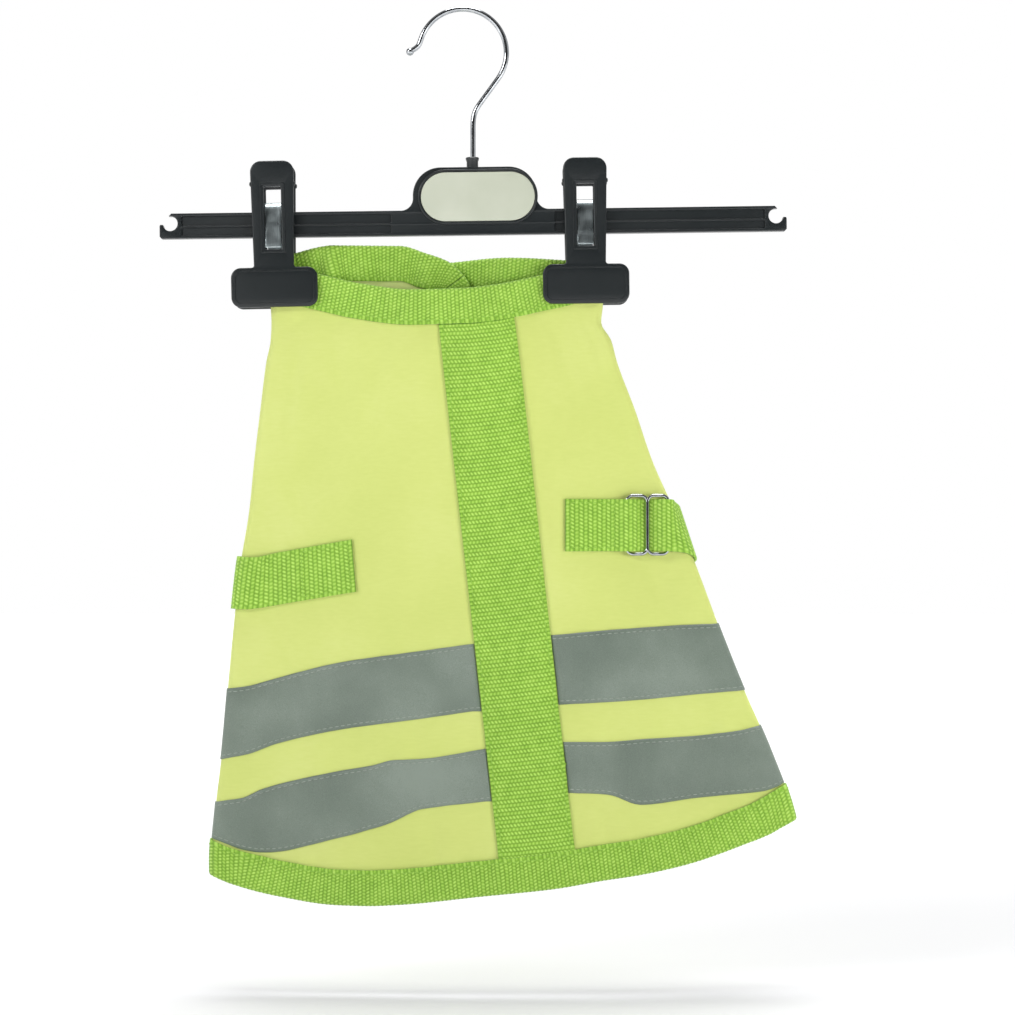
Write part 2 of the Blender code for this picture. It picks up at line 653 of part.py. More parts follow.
def outline_solid(name, loops, thickness, finish, group):
    """A flat outline in X and Z, with any inner loops as holes, extruded along Y about y = 0."""
    curve = bpy.data.curves.new(name, "CURVE")
    curve.dimensions = "2D"
    curve.fill_mode = "BOTH"
    curve.extrude = thickness / 2.0 * MM
    for loop in loops:
        spline = curve.splines.new("POLY")
        spline.points.add(len(loop) - 1)
        for point, (x, z) in zip(spline.points, loop):
            point.co = (x * MM, z * MM, 0.0, 1.0)
        spline.use_cyclic_u = True
    piece = bpy.data.objects.new(name, curve)
    group.objects.link(piece)
    piece.matrix_world = Matrix.Rotation(math.radians(90.0), 4, "X")
    curve.materials.append(finish)
    return mesh_from_curve(piece, group)


def wire(name, points, radius, cyclic, finish, group):
    curve = bpy.data.curves.new(name, "CURVE")
    curve.dimensions = "3D"
    curve.bevel_depth = radius * MM
    curve.bevel_resolution = 2
    curve.use_fill_caps = True
    spline = curve.splines.new("POLY")
    spline.points.add(len(points) - 1)
    for point, place in zip(spline.points, points):
        point.co = (*(Vector(place) * MM), 1.0)
    spline.use_cyclic_u = cyclic
    piece = bpy.data.objects.new(name, curve)
    group.objects.link(piece)
    curve.materials.append(finish)
    solid = mesh_from_curve(piece, group)
    solid.data.shade_smooth()
    return solid


def box(name, low, high, group):
    """A box between two corners."""
    shape = bmesh.new()
    size = Vector(high) - Vector(low)
    middle = (Vector(high) + Vector(low)) / 2.0
    place = Matrix.Translation(middle * MM) @ Matrix.Diagonal((*(size * MM), 1.0))
    bmesh.ops.create_cube(shape, size=1.0, matrix=place)
    mesh = bpy.data.meshes.new(name)
    shape.to_mesh(mesh)
    shape.free()
    piece = bpy.data.objects.new(name, mesh)
    group.objects.link(piece)
    return piece


def upright_cylinder(name, x, radius, low, high, sides, group):
    shape = bmesh.new()
    place = Matrix.Translation(Vector((x, 0.0, (low + high) / 2.0)) * MM)
    bmesh.ops.create_cone(shape, cap_ends=True, segments=sides, radius1=radius * MM,
                          radius2=radius * MM, depth=(high - low) * MM, matrix=place)
    mesh = bpy.data.meshes.new(name)
    shape.to_mesh(mesh)
    shape.free()
    piece = bpy.data.objects.new(name, mesh)
    group.objects.link(piece)
    return piece


def combine(piece, tool, operation):
    """Add a Boolean with a tool object, which is then only a hidden guide."""
    step = piece.modifiers.new(operation.lower(), "BOOLEAN")
    step.operation = operation
    step.solver = "EXACT"
    step.object = tool
    tool.hide_render = True
    tool.display_type = "WIRE"


def turned(piece, pivot_x, pivot_z, angle):
    """Turn an object in the plane of the coat; a positive angle leans its top to the left."""
    pivot = Vector((pivot_x, 0.0, pivot_z)) * MM
    turn = Matrix.Translation(pivot) @ Matrix.Rotation(-angle, 4, "Y") @ Matrix.Translation(-pivot)
    piece.matrix_world = turn @ piece.matrix_world


def bar_end():
    """The bar's right end from its top edge to its bottom one, from the middle of the bar's top."""
    notch_x = BAR_HALF_LENGTH - NOTCH_FROM_END
    notch = arc(0.0, -NOTCH_BELOW_TOP, NOTCH_RADIUS, *NOTCH_ANGLES, NOTCH_STEPS)
    points = [(notch_x - NOTCH_OVERHANG, 0.0)] + [(notch_x - x, z) for x, z in notch]
    points += [(BAR_HALF_LENGTH - inset, z) for inset, z in PRONG_TIP]
    points += [(BAR_HALF_LENGTH, BAR_CORNER - BAR_HEIGHT), (BAR_HALF_LENGTH - BAR_CORNER, -BAR_HEIGHT)]
    return points


def make_bar(finish, group, tools):
    """The bar with its hump, an open notch at each end, recessed faces and a socket for the hook."""
    right_end = bar_end()
    left_end = [(-x, z) for x, z in right_end]
    right, left = HUMP_CENTRE + HUMP_HALF, HUMP_CENTRE - HUMP_HALF
    shoulder = HUMP_HEIGHT - HUMP_CORNER
    hump = arc(right + HUMP_FOOT, HUMP_FOOT, HUMP_FOOT, 270.0, 180.0, CORNER_STEPS)
    hump += arc(right - HUMP_CORNER, shoulder, HUMP_CORNER, 0.0, 90.0, HUMP_STEPS)
    hump += arc(left + HUMP_CORNER, shoulder, HUMP_CORNER, 90.0, 180.0, HUMP_STEPS)
    hump += arc(left - HUMP_FOOT, HUMP_FOOT, HUMP_FOOT, 0.0, -90.0, CORNER_STEPS)
    outline = left_end + right_end[::-1] + hump
    loop = [(x + BAR_CENTRE_X, z + BAR_TOP_Z) for x, z in outline]
    bar = outline_solid("hanger_bar", [loop], BAR_THICK, finish, group)
    turned(bar, BAR_CENTRE_X, BAR_TOP_Z, BAR_RISE)
    near, far = RECESS_SPAN
    deep = BAR_THICK / 2.0 - RECESS_DEPTH
    for side in (-1.0, 1.0):
        for face in (-1.0, 1.0):
            for level, (high, low) in enumerate(RECESS_LEVELS):
                xs = sorted((BAR_CENTRE_X + side * near, BAR_CENTRE_X + side * far))
                ys = sorted((face * deep, face * BAR_THICK))
                cutter = box(f"recess_{side:+.0f}_{face:+.0f}_{level}",
                             (xs[0], ys[0], BAR_TOP_Z + low), (xs[1], ys[1], BAR_TOP_Z + high), tools)
                turned(cutter, BAR_CENTRE_X, BAR_TOP_Z, BAR_RISE)
                combine(bar, cutter, "DIFFERENCE")
    socket = upright_cylinder("socket", BAR_CENTRE_X, SOCKET_RADIUS, SOCKET_FOOT_Z, SOCKET_TOP_Z,
                              SOCKET_SIDES, tools)
    combine(bar, socket, "UNION")
    bore = upright_cylinder("bore", BAR_CENTRE_X, BORE_RADIUS, SOCKET_TOP_Z - BORE_DEPTH,
                            SOCKET_TOP_Z + BORE_RADIUS, BORE_SIDES, tools)
    combine(bar, bore, "DIFFERENCE")


def make_plate(finish, group):
    """The bare plate on the front of the hump."""
    x, z = PLATE_CENTRE
    radius = PLATE_HEIGHT / 2.0
    run = PLATE_LENGTH / 2.0 - radius
    loop = arc(x + run, z, radius, 90.0, -90.0, PLATE_STEPS)
    loop += arc(x - run, z, radius, 270.0, 90.0, PLATE_STEPS)
    plate = outline_solid("hanger_plate", [loop], PLATE_THICK, finish, group)
    forward = BAR_THICK / 2.0 + GAP + PLATE_THICK / 2.0
    plate.matrix_world = Matrix.Translation((0.0, -forward * MM, 0.0)) @ plate.matrix_world
    turned(plate, BAR_CENTRE_X, BAR_TOP_Z, BAR_RISE)


def make_hook(finish, group, tools):
    """Round wire from the ball at its tip, over the top and down into the socket."""
    x, z = HOOK_ARC_CENTRE
    points = list(HOOK_TIP[::-1])
    points += arc(x, z, HOOK_ARC_RADIUS + HOOK_RADIUS, *HOOK_ARC, HOOK_STEPS)
    foot_z = SOCKET_TOP_Z - BORE_DEPTH + GAP
    points += list(HOOK_NECK) + [(BAR_CENTRE_X, foot_z)]
    hook = wire("hanger_hook", [(x, 0.0, z) for x, z in points], HOOK_RADIUS, False, finish, group)
    shape = bmesh.new()
    ball_x, ball_z = HOOK_TIP[1]
    bmesh.ops.create_uvsphere(shape, u_segments=12, v_segments=8, radius=HOOK_BALL_RADIUS * MM,
                              matrix=Matrix.Translation(Vector((ball_x, 0.0, ball_z)) * MM))
    mesh = bpy.data.meshes.new("hook_ball")
    shape.to_mesh(mesh)
    shape.free()
    ball = bpy.data.objects.new("hook_ball", mesh)
    tools.objects.link(ball)
    combine(hook, ball, "UNION")


def lever_loops(x, foot):
    """The outline of a clip's lever, wide at the jaw, and its window."""
    half_jaw, half_foot, half_top = JAW_WIDTH / 2, STEM_WIDTH_FOOT / 2, STEM_WIDTH_TOP / 2
    corner = JAW_CORNER
    right = arc(half_jaw - corner, corner, corner, -90.0, 0.0, CORNER_STEPS)
    right += arc(half_jaw - corner, JAW_HEIGHT - corner, corner, 0.0, 90.0, CORNER_STEPS)
    right += [(half_foot, JAW_HEIGHT)]
    right += arc(half_top - STEM_CORNER, STEM_TOP - STEM_CORNER, STEM_CORNER, 0.0, 90.0, CORNER_STEPS)
    outline = right + [(-across, up) for across, up in reversed(right)]
    half_window = WINDOW_WIDTH / 2
    window = [(-half_window, WINDOW_FOOT), (half_window, WINDOW_FOOT),
              (half_window, WINDOW_TOP), (-half_window, WINDOW_TOP)]
    return [[(x + across, foot + up) for across, up in loop] for loop in (outline, window)]


def make_lever(name, x, foot, lean, side, finish, group, tools):
    """One lever of a clip with the two cheeks that bear on the bar; side -1 is the front one."""
    lever = outline_solid(name, lever_loops(x, foot), LEVER_THICK, finish, group)
    middle = side * (LEVER_FACE + LEVER_THICK / 2.0)
    lever.matrix_world = Matrix.Translation((0.0, middle * MM, 0.0)) @ lever.matrix_world
    turned(lever, x, foot, lean)
    for hand in (-1.0, 1.0):
        xs = sorted((x + hand * CHEEK_X[0], x + hand * CHEEK_X[1]))
        ys = sorted((side * CHEEK_FACE, side * (LEVER_FACE + LEVER_THICK / 2.0)))
        cheek = box(f"{name}_cheek_{hand:+.0f}", (xs[0], ys[0], foot + CHEEK_Z[0]),
                    (xs[1], ys[1], foot + CHEEK_Z[1]), tools)
        turned(cheek, x, foot, lean)
        combine(lever, cheek, "UNION")


def make_spring(name, x, foot, lean, finish, group):
    """A bent strip over the bar that pulls the two levers together at the jaw."""
    path = list(SPRING_PATH) + [(-y, z) for y, z in reversed(SPRING_PATH[:-1])]
    half = SPRING_WIDTH / 2.0
    rows = [[Vector((x + half, y, foot + z)) for y, z in path],
            [Vector((x - half, y, foot + z)) for y, z in path]]
    spring = cloth(name, rows, SPRING_THICK, finish, group)
    turned(spring, x, foot, lean)


def make_clips(plastic, steel, group, tools):
    for name, x, foot, lean in CLIPS:
        lean = math.radians(lean)
        make_lever(f"{name}_front", x, foot, lean, -1.0, plastic, group, tools)
        make_lever(f"{name}_back", x, foot, lean, 1.0, plastic, group, tools)
        make_spring(f"{name}_spring", x, foot, lean, steel, group)


def make_slider(finish, group, tools):
    """Two wire loops, joined where their middle bars touch."""
    loops = []
    for side in (-1.0, 1.0):
        centre = LOOP_CENTRE_X + side * LOOP_PITCH / 2.0
        dx, dz = LOOP_WIDTH / 2.0 - LOOP_CORNER, LOOP_HALF_HEIGHT - LOOP_CORNER
        outline = []
        for i, (sign_x, sign_z) in enumerate(((1, 1), (-1, 1), (-1, -1), (1, -1))):
            outline += arc(centre + sign_x * dx, SLIDER_Z + sign_z * dz, LOOP_CORNER,
                           90.0 * i, 90.0 * i + 90.0, LOOP_STEPS)
        points = [(x, slider_plane(x, z), z) for x, z in outline]
        loops.append(points)
    slider = wire("strap_slider", loops[0], WIRE_RADIUS, True, finish, group)
    other = wire("slider_loop", loops[1], WIRE_RADIUS, True, finish, tools)
    combine(slider, other, "UNION")


def build():
    clear_scene()
    coat = new_collection("reflective_dog_coat")
    tools = new_collection("cutters")
    yellow = new_material("yellow_cloth", (0.73, 0.81, 0.16), 0.75)
    webbing = new_material("green_webbing", (0.30, 0.56, 0.06), 0.80)
    tape = new_material("reflective_tape", (0.19, 0.23, 0.20), 0.45)
    chrome = new_material("chrome_wire", (0.80, 0.80, 0.82), 0.12, 1.0)
    plastic = new_material("black_plastic", (0.018, 0.020, 0.021), 0.38)
    pale = new_material("pale_plate", (0.62, 0.66, 0.53), 0.50)
    steel = new_material("spring_steel", (0.42, 0.45, 0.46), 0.35, 1.0)

    grid = body_grid()
    cloth("coat_body", lifted_rows(grid, 0.0), SHELL_THICK, yellow, coat)
    make_bindings(grid, webbing, coat)
    make_centre_band(webbing, coat)
    make_tapes(tape, coat)
    make_belly_strap(webbing, coat)
    make_slider(chrome, coat, tools)
    make_bar(plastic, coat, tools)
    make_plate(pale, coat)
    make_hook(chrome, coat, tools)
    make_clips(plastic, steel, coat, tools)


build()
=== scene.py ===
"""Looks of the reflective dog coat on its two-clip hanger.

The frame is in metres. The tables are in millimetres, as in the part's source, and MM turns them
into metres. Cloth pieces follow the same surface as their solids, on finer grids, with small
creases, a raised weave and stitches. +X is the viewer's right and +Y points away from the viewer.
"""

import math

import bmesh
import bpy
import numpy as np
from mathutils import Matrix, Vector


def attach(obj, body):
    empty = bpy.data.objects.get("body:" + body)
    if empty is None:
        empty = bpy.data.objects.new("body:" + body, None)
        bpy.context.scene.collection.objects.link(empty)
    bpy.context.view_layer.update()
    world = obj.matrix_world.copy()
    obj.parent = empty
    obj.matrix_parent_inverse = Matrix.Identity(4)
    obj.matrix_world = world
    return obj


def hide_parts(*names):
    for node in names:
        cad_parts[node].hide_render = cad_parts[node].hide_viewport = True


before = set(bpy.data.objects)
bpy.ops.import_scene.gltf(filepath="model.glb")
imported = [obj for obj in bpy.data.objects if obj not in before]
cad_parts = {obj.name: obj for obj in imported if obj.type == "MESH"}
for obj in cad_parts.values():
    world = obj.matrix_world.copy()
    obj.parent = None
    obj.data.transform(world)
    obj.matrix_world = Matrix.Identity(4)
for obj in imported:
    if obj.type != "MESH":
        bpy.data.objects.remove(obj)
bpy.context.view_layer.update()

MM = 0.001

# The folded coat from top to bottom: height, left and right fold, how far the front and the rear
# layer stand from the middle plane, and how firmly the clips hold the cloth flat (1 is flat).
SECTION_COLUMNS = ("z", "left", "right", "front", "rear", "grip")
SECTIONS = (
    (-110, -97.5, 71.5, 9, 8.5, 1),
    (-126, -97, 71, 9, 8.5, 1),
    (-148, -95.8, 69.8, 9.5, 8.5, 1),
    (-156, -95.4, 69, 10, 8.6, 0.9),
    (-165, -95.8, 74, 10, 8.8, 0.75),
    (-176, -98, 77, 11, 9, 0.55),
    (-200, -101, 86, 12, 9.5, 0.2),
    (-225, -104, 94.5, 12.5, 10, 0),
    (-250, -106.5, 105.5, 13, 10, 0),
    (-280, -111.3, 117.4, 13, 10, 0),
    (-310, -114.5, 128.6, 13, 10, 0),
    (-340, -117.3, 140.6, 12.5, 10, 0),
    (-370, -120, 153.7, 12, 10, 0),
    (-400, -123.5, 164.6, 11, 9.5, 0),
    (-425, -125.4, 170, 10.2, 9, 0),
    (-455, -125, 173, 10, 9, 0),
)

# Outer edges of the coat, with the two folds opened out.
NECK_EDGE = (  # w, z
    (-198, -138), (-186, -124.7), (-175, -120.5), (-163, -117), (-130, -117), (-110, -121), (-97, -126),
    (-71, -132), (-50, -136.8), (-25, -139.8), (0, -139), (16, -137.2), (40, -132.2), (70.8, -126),
    (90, -124.5), (122, -123), (149, -125), (172, -126.6), (186, -129.5), (200, -135.5), (212, -146),
)
HEM_EDGE = (  # w, z
    (-150, -413.5), (-143, -421), (-136, -427), (-127, -432.2), (-115, -437.4), (-92, -443.2),
    (-63, -447.3), (-48, -447.6), (-31, -446.8), (7, -442.8), (45, -438.9), (69, -434.9), (89, -432),
    (113, -426.8), (142, -416.9), (153, -412.5), (160.5, -408.3), (167, -405.5), (190, -409.5),
    (209, -411.5), (224, -407.5),
)
FLAP_END_RADIUS = 30.0
FLAP_END_Z = -150.0
FLAP_END_ANGLES = (65.0, -45.0)
FLAP_END_STEPS = 11
FLAP_REACH_LEFT, FLAP_REACH_RIGHT = 103.0, 137.5
LEFT_REACH = (  # z, reach behind the left fold
    (-181, 79), (-190, 65), (-199, 52), (-209, 40), (-221, 31), (-237, 28), (-263, 31), (-300, 37),
    (-340, 43), (-370, 43), (-385, 40.5), (-398, 34.5), (-413.5, 25.5),
)
RIGHT_REACH = (  # z, reach behind the right fold
    (-182.5, 111), (-191.5, 95), (-200.5, 80), (-210, 67), (-222, 58), (-238, 57), (-263, 66),
    (-302, 74.5), (-340, 77), (-365, 75), (-383, 74), (-397, 68), (-407, 56.5),
)

CREASES = (  # w_top, z_top, w_bottom, z_bottom, half_width, depth
    (-60, -170, -84, -260, 24, 0.9), (36, -190, 70, -300, 24, 0.8), (-62, -320, -48, -430, 24, 0.8),
    (82, -320, 78, -420, 24, 0.9), (-142, -230, -146, -390, 22, 0.6), (166, -240, 196, -390, 24, 0.7),
)
CREASE_FADE = (7.0, 27.0)

# Small creases, which only the looks have. A negative depth stands out as a ridge.
FINE_CREASES = (  # w_top, z_top, w_bottom, z_bottom, half_width, depth
    (-80, -152, -89, -226, 5, 0.45), (-76, -150, -96, -168, 4, 0.5), (62, -150, 74, -186, 5, 0.5),
    (-66, -156, -58, -196, 6, 0.35), (-38, -158, -50, -228, 8, 0.3), (44, -152, 60, -205, 6, 0.35),
    (30, -160, 40, -240, 8, 0.25), (76, -190, 88, -236, 6, 0.3), (-92, -225, -74, -262, 7, 0.35),
    (-98, -296, -84, -332, 6, 0.35), (-40, -262, -58, -318, 9, 0.25), (88, -272, 108, -306, 7, 0.35),
    (-16, -396, -12.5, -430, 4.5, 0.55), (-26, -360, -20, -404, 6, 0.3),
    (73.5, -388, 71, -420, 4.5, 0.55), (127.5, -346, 121, -396, 4.5, 0.55),
    (104, -380, 100, -422, 6, 0.35), (-78, -404, -70, -436, 6, 0.35), (-104, -398, -96, -428, 5, 0.3),
    (18, -420, 20, -441, 5, -0.25), (-129, -115, -127, -147, 6, 1.5), (-178, -118, -170, -160, 9, 1.1),
    (-152, -116, -150, -150, 7, -0.6), (118, -122, 124, -170, 8, 0.6), (-150, -165, -133, -214, 8, 0.5),
    (150, -160, 122, -216, 8, 0.5), (156, -268, 170, -330, 8, 0.4), (-140, -300, -136, -352, 6, 0.3),
)
FINE_DEPTH = 1.7            # scales all the small creases
PUCKER_DEPTH = 0.30         # small waves that the sewing draws into the cloth beside a seam
PUCKER_REACH = 7.0
PUCKER_PITCH = 15.0

FOLD_RADIUS = 3.0
GRIP_LEFT = 27.0
GRIP_RIGHT = 32.0
SWELL_SPREAD = 0.42
FLAP_STEP = 4.8
FLAP_STEP_X = (38.5, -7.0)
FLAP_STEP_Z = (-235.0, -180.0)

GAP = 0.3
SHELL_THICK = 1.0
TAPE_THICK = 0.5            # the looks have the tapes thinner than their solids, close on the cloth
TAPE_LIFT = SHELL_THICK / 2 + 0.08 + TAPE_THICK / 2
BAND_THICK = 1.0
BAND_LIFT = SHELL_THICK / 2 + 0.15 + BAND_THICK / 2
BAND_HALF = 19.1
BAND_X, BAND_Z, BAND_LEAN = 7.5, -160.0, -0.1129

BINDING_THICK = 1.0
BINDING_TURN = 1.42
BINDING_SHOWS = 18.0
EDGE_INSET = BINDING_TURN + BINDING_THICK / 2
BINDING_LEG = BINDING_SHOWS - EDGE_INSET
FOLD_FOLLOW = (7.0, 22.0)
DIRECTION_SPREAD = 9.0      # stations over which the binding's directions are evened out

TAPE_COLUMNS = ("w", "top", "bottom")
UPPER_LEFT_TAPE = (
    (-150, -356, -390), (-119, -339.8, -374.5), (-107, -338, -372), (-93, -334.1, -366.8),
    (-61, -326, -359.5), (-21, -320.1, -353.8), (5, -316.5, -350),
)
UPPER_RIGHT_TAPE = (
    (45, -312.2, -346.9), (80.7, -309.3, -345.2), (128, -307, -341.2), (141, -313.4, -340.4),
    (204, -344, -367), (217, -350, -373),
)
LOWER_LEFT_TAPE = (
    (-129.5, -399, -410.5), (-127, -397.5, -413), (-120, -395.5, -416.2), (-110, -394, -419.8),
    (-99.6, -389.3, -421.3), (-63, -380.5, -413.9), (-44.6, -377.2, -408.8), (-34.5, -374.5, -405.3),
    (-21, -373.8, -399), (12, -368.6, -394.8),
)
LOWER_RIGHT_TAPE = (
    (51, -365.3, -390.5), (72, -365.5, -391.6), (89, -364.3, -396.9), (116, -362.8, -393.8),
    (139, -360.2, -391.8), (149.5, -358, -390.8), (157, -361.5, -388.6), (162, -364, -386.2),
    (178, -371.6, -388.4), (190, -377.4, -390.4), (200, -382.2, -391.4),
)
TAPE_END_INSET = 18.1

STRAP_HALF = 13.0
STRAP_THICK = 1.2
STRAP_LIFT = SHELL_THICK / 2 + GAP + STRAP_THICK / 2
STRAP_LIFT_REAR = 2.9
STRAP_LIFT_LEFT = 2.2
STRAP_RIGHT_X = (51.0, 59.0, 67.0, 73.5)
STRAP_RIGHT_Z = -257.6
STRAP_FOLD_Z = -261.5
STRAP_FOLD = (107.5, -245.0, -0.33)
STRAP_FOLD_RADIUS = 5.8
STRAP_FOLD_INSETS = (2.4, 0.7, 0.0, 0.7, 2.4, 5.8)
STRAP_BACK = ((98.0, -263.5), (-98.0, -285.7))
STRAP_BACK_COLUMNS = 18
STRAP_LEFT_Z = -286.6
STRAP_LEFT_END = (-53.8, -277.7)
STRAP_LEFT_COLUMNS = 5
STRAP_LEFT_LEAN = -0.08
STRAP_LEFT_STEPS = (-7.0, -3.0, -0.88, 0.0, 0.88, 3.0, 7.0)

WIRE_RADIUS = 0.9
LOOP_WIDTH = 10.5           # the two loops share their middle bar
LOOP_CENTRE_X = 92.3
LOOP_HALF_HEIGHT = 14.6
LOOP_CORNER = 3.3
SLIDER_Z = -257.4
SLIDER_Y = -7.65
SLIDER_TURN = 0.07
SLIDER_NOD = 0.05
SLIDER_CLEAR = 1.85
SLIDER_STATIONS = (
    (79.8, 0.85), (80.8, 1.0), (82.8, 1.0), (90.4, -1.0), (94.2, -1.0), (101.8, 1.0), (104.3, 0.86),
)

# Hanger
BAR_CENTRE_X = 5.2
BAR_TOP_Z = -99.65
BAR_RISE = math.radians(0.74)
BAR_HALF_LENGTH = 157.0
BAR_HEIGHT = 12.6
BAR_THICK = 6.0
BAR_CORNER = 1.0
HUMP_CENTRE = 1.0
HUMP_HALF = 31.0
HUMP_HEIGHT = 21.4
HUMP_CORNER = 14.0
HUMP_FOOT = 6.0
NOTCH_RADIUS = 3.75
NOTCH_FROM_END = 5.3
NOTCH_BELOW_TOP = 5.0
NOTCH_ANGLES = (100.0, -171.0)
NOTCH_OVERHANG = 0.6
PRONG_TIP = ((0.4, -5.6), (0.0, -6.2))
RECESS_DEPTH = 1.0
RECESS_SPAN = (41.0, 146.0)
RECESS_LEVELS = ((-1.5, -6.2), (-7.2, -11.1))
SOCKET_RADIUS = 3.4
SOCKET_TOP_Z = -73.25
SOCKET_PROFILE = (  # inside its radius, below its top
    (0.5, 8.25), (0.5, 2.2), (0.1, 1.0), (0.0, 0.4), (0.35, 0.0), (1.85, 0.0), (1.9, 0.6),
)
BORE_DEPTH = 8.0
PLATE_LENGTH = 57.0
PLATE_HEIGHT = 24.5
PLATE_THICK = 1.0
PLATE_CENTRE = (7.75, -93.2)
RIM_ROOM, RIM_HEIGHT = (3.0, 0.5), 1.35

HOOK_RADIUS = 1.3
HOOK_ARC_CENTRE = (0.0, -20.7)
HOOK_ARC_RADIUS = 22.0
HOOK_TIP = ((-22.1, -17.6), (-26.4, -20.2))
HOOK_ARC = (166.0, -36.0)
HOOK_NECK = ((7.2, -48.2), (5.7, -51.5), (5.2, -55.5), (5.2, -64.0))
HOOK_BALL_RADIUS = 1.9
WIRE_ANGLE = 60.0           # corners of the wires sharper than this show, in degrees

CLIPS = (  # name, x, height of the jaw's bottom, lean in degrees with the top to the left
    ("clip_left", -93.6, -148.65, 1.3),
    ("clip_right", 61.9, -146.9, 0.7),
)
JAW_WIDTH, JAW_HEIGHT, JAW_CORNER = 43.2, 19.8, 5.0
STEM_WIDTH_FOOT, STEM_WIDTH_TOP, STEM_TOP, STEM_CORNER = 20.0, 21.8, 73.0, 5.5
WINDOW_WIDTH, WINDOW_FOOT, WINDOW_TOP = 8.5, 28.8, 60.0
LEVER_FACE, LEVER_THICK = 5.2, 2.4
CHEEK_FACE = 3.3
CHEEK_X, CHEEK_Z = (4.7, 9.4), (36.2, 46.2)
JAW_RIDGE, WINDOW_RIDGE, RIDGE_HEIGHT = (1.5, 2.2), (1.9, 1.3), 0.3
NUB_HEIGHT = STEM_TOP - 11.5
SPRING_WIDTH, SPRING_THICK, SPRING_CROWN = 7.9, 0.8, 0.18
SPRING_PATH = (  # y, z above the jaw's bottom
    (-7.0, 29.6), (-7.1, 31.6), (-6.5, 32.6), (-6.3, 34.5), (-6.5, 35.5), (-5.2, 42.0), (-4.6, 47.0),
    (-3.6, 50.3), (-1.9, 52.1), (0.0, 52.6),
)

# Grids of the looks
WEAVE = (1.85, 2.3)         # one grain of the webbing, across and along it
HALF_WIDE, HALF_LONG = WEAVE[0] / 2.0, WEAVE[1] / 2.0
BINDING_WEAVE = (1.68, 2.0) # the same in the bindings, which are woven finer
WEAVE_RELIEF = 0.22
SELVEDGE = 1.4              # smoother margin at each side of the webbing
STITCH_LENGTH, STITCH_PITCH, STITCH_RADIUS = 2.3, 3.1, 0.26
BINDING_SEAM, BAND_SEAM, TAPE_SEAM, STRAP_SEAM = 2.2, 2.0, 1.8, 1.8    # from the webbing's edge
BODY_ROWS, BAND_ROWS, TAPE_ROWS = 132, 268, 18
BODY_COLUMNS = (26, 104, 38)    # left flap, front and right flap
TAPE_CLEAR = 0.8            # least distance between a tape's end and its next column

# Metres
FLOOR_PLACE = (0.02, 0.0, -0.4915)
LIT_PLACE = (0.02, 0.0, -0.25)


# Curves and the coat's surface

def mix(a, b, share):
    return a + (b - a) * share


def ease(t):
    t = np.clip(t, 0.0, 1.0)
    return t * t * (3.0 - 2.0 * t)


def hermite(a, b, start, end, t):
    """From a to b with these slopes at the ends, as t goes from 0 to 1."""
    rise = b - a
    return a + t * (start + t * (3.0 * rise - 2.0 * start - end + t * (start + end - 2.0 * rise)))


def smooth_curve(points):
    """A function through the points that never overshoots them and is level beyond their ends."""
    points = sorted(points)
    keys = np.array([point[0] for point in points], float)
    values = np.array([point[1] for point in points], float)
    steps = np.diff(keys)
    slopes = np.diff(values) / steps
    tangents = [slopes[0]]
    for before, after in zip(slopes, slopes[1:]):
        tangents.append(2.0 * before * after / (before + after) if before * after > 0.0 else 0.0)
    tangents = np.array(tangents + [slopes[-1]])

    def value_at(key):
        key = np.clip(key, keys[0], keys[-1])
        i = np.clip(np.searchsorted(keys, key, side="right") - 1, 0, len(steps) - 1)
        t = (key - keys[i]) / steps[i]
        return hermite(values[i], values[i + 1], tangents[i] * steps[i], tangents[i + 1] * steps[i], t)

    return value_at


def arc(centre_x, centre_z, radius, start, end, steps):
    points = []
    for i in range(steps + 1):
        angle = math.radians(mix(start, end, i / steps))
        points.append((centre_x + radius * math.cos(angle), centre_z + radius * math.sin(angle)))
    return points


def column(table, names, key, value):
    return smooth_curve([(row[names.index(key)], row[names.index(value)]) for row in table])


def reach_curve(flap_reach, table):
    end = arc(flap_reach - FLAP_END_RADIUS, FLAP_END_Z, FLAP_END_RADIUS, *FLAP_END_ANGLES,
              FLAP_END_STEPS)
    return smooth_curve([(z, reach) for reach, z in end] + list(table))


LEFT, RIGHT, FRONT, REAR, GRIP = (
    column(SECTIONS, SECTION_COLUMNS, "z", name) for name in SECTION_COLUMNS[1:])
NECK = smooth_curve(NECK_EDGE)
HEM = smooth_curve(HEM_EDGE)
REACH_LEFT = reach_curve(FLAP_REACH_LEFT, LEFT_REACH)
REACH_RIGHT = reach_curve(FLAP_REACH_RIGHT, RIGHT_REACH)


def trough(w, z, crease):
    w_top, z_top, w_bottom, z_bottom, half_width, depth = crease
    along = (z - z_top) / (z_bottom - z_top)
    aside = np.abs(w - mix(w_top, w_bottom, along)) / half_width
    inside = (along > 0.0) & (along < 1.0)
    shape = np.sin(math.pi * np.clip(along, 0.0, 1.0)) * (1.0 - ease(aside))
    return np.where(inside, depth * shape, 0.0)


def seam_lines():
    """Heights at each w of the seams that draw small waves into the cloth."""
    tapes = (UPPER_LEFT_TAPE, UPPER_RIGHT_TAPE, LOWER_LEFT_TAPE, LOWER_RIGHT_TAPE)
    lines = []
    for table in tapes:
        for edge in ("top", "bottom"):
            lines.append((column(table, TAPE_COLUMNS, "w", edge), table[0][0], table[-1][0]))
    lines.append((lambda w: NECK(w) - BINDING_SHOWS, -200.0, 210.0))
    lines.append((lambda w: HEM(w) + BINDING_SHOWS, -150.0, 220.0))
    return lines


SEAMS = seam_lines()


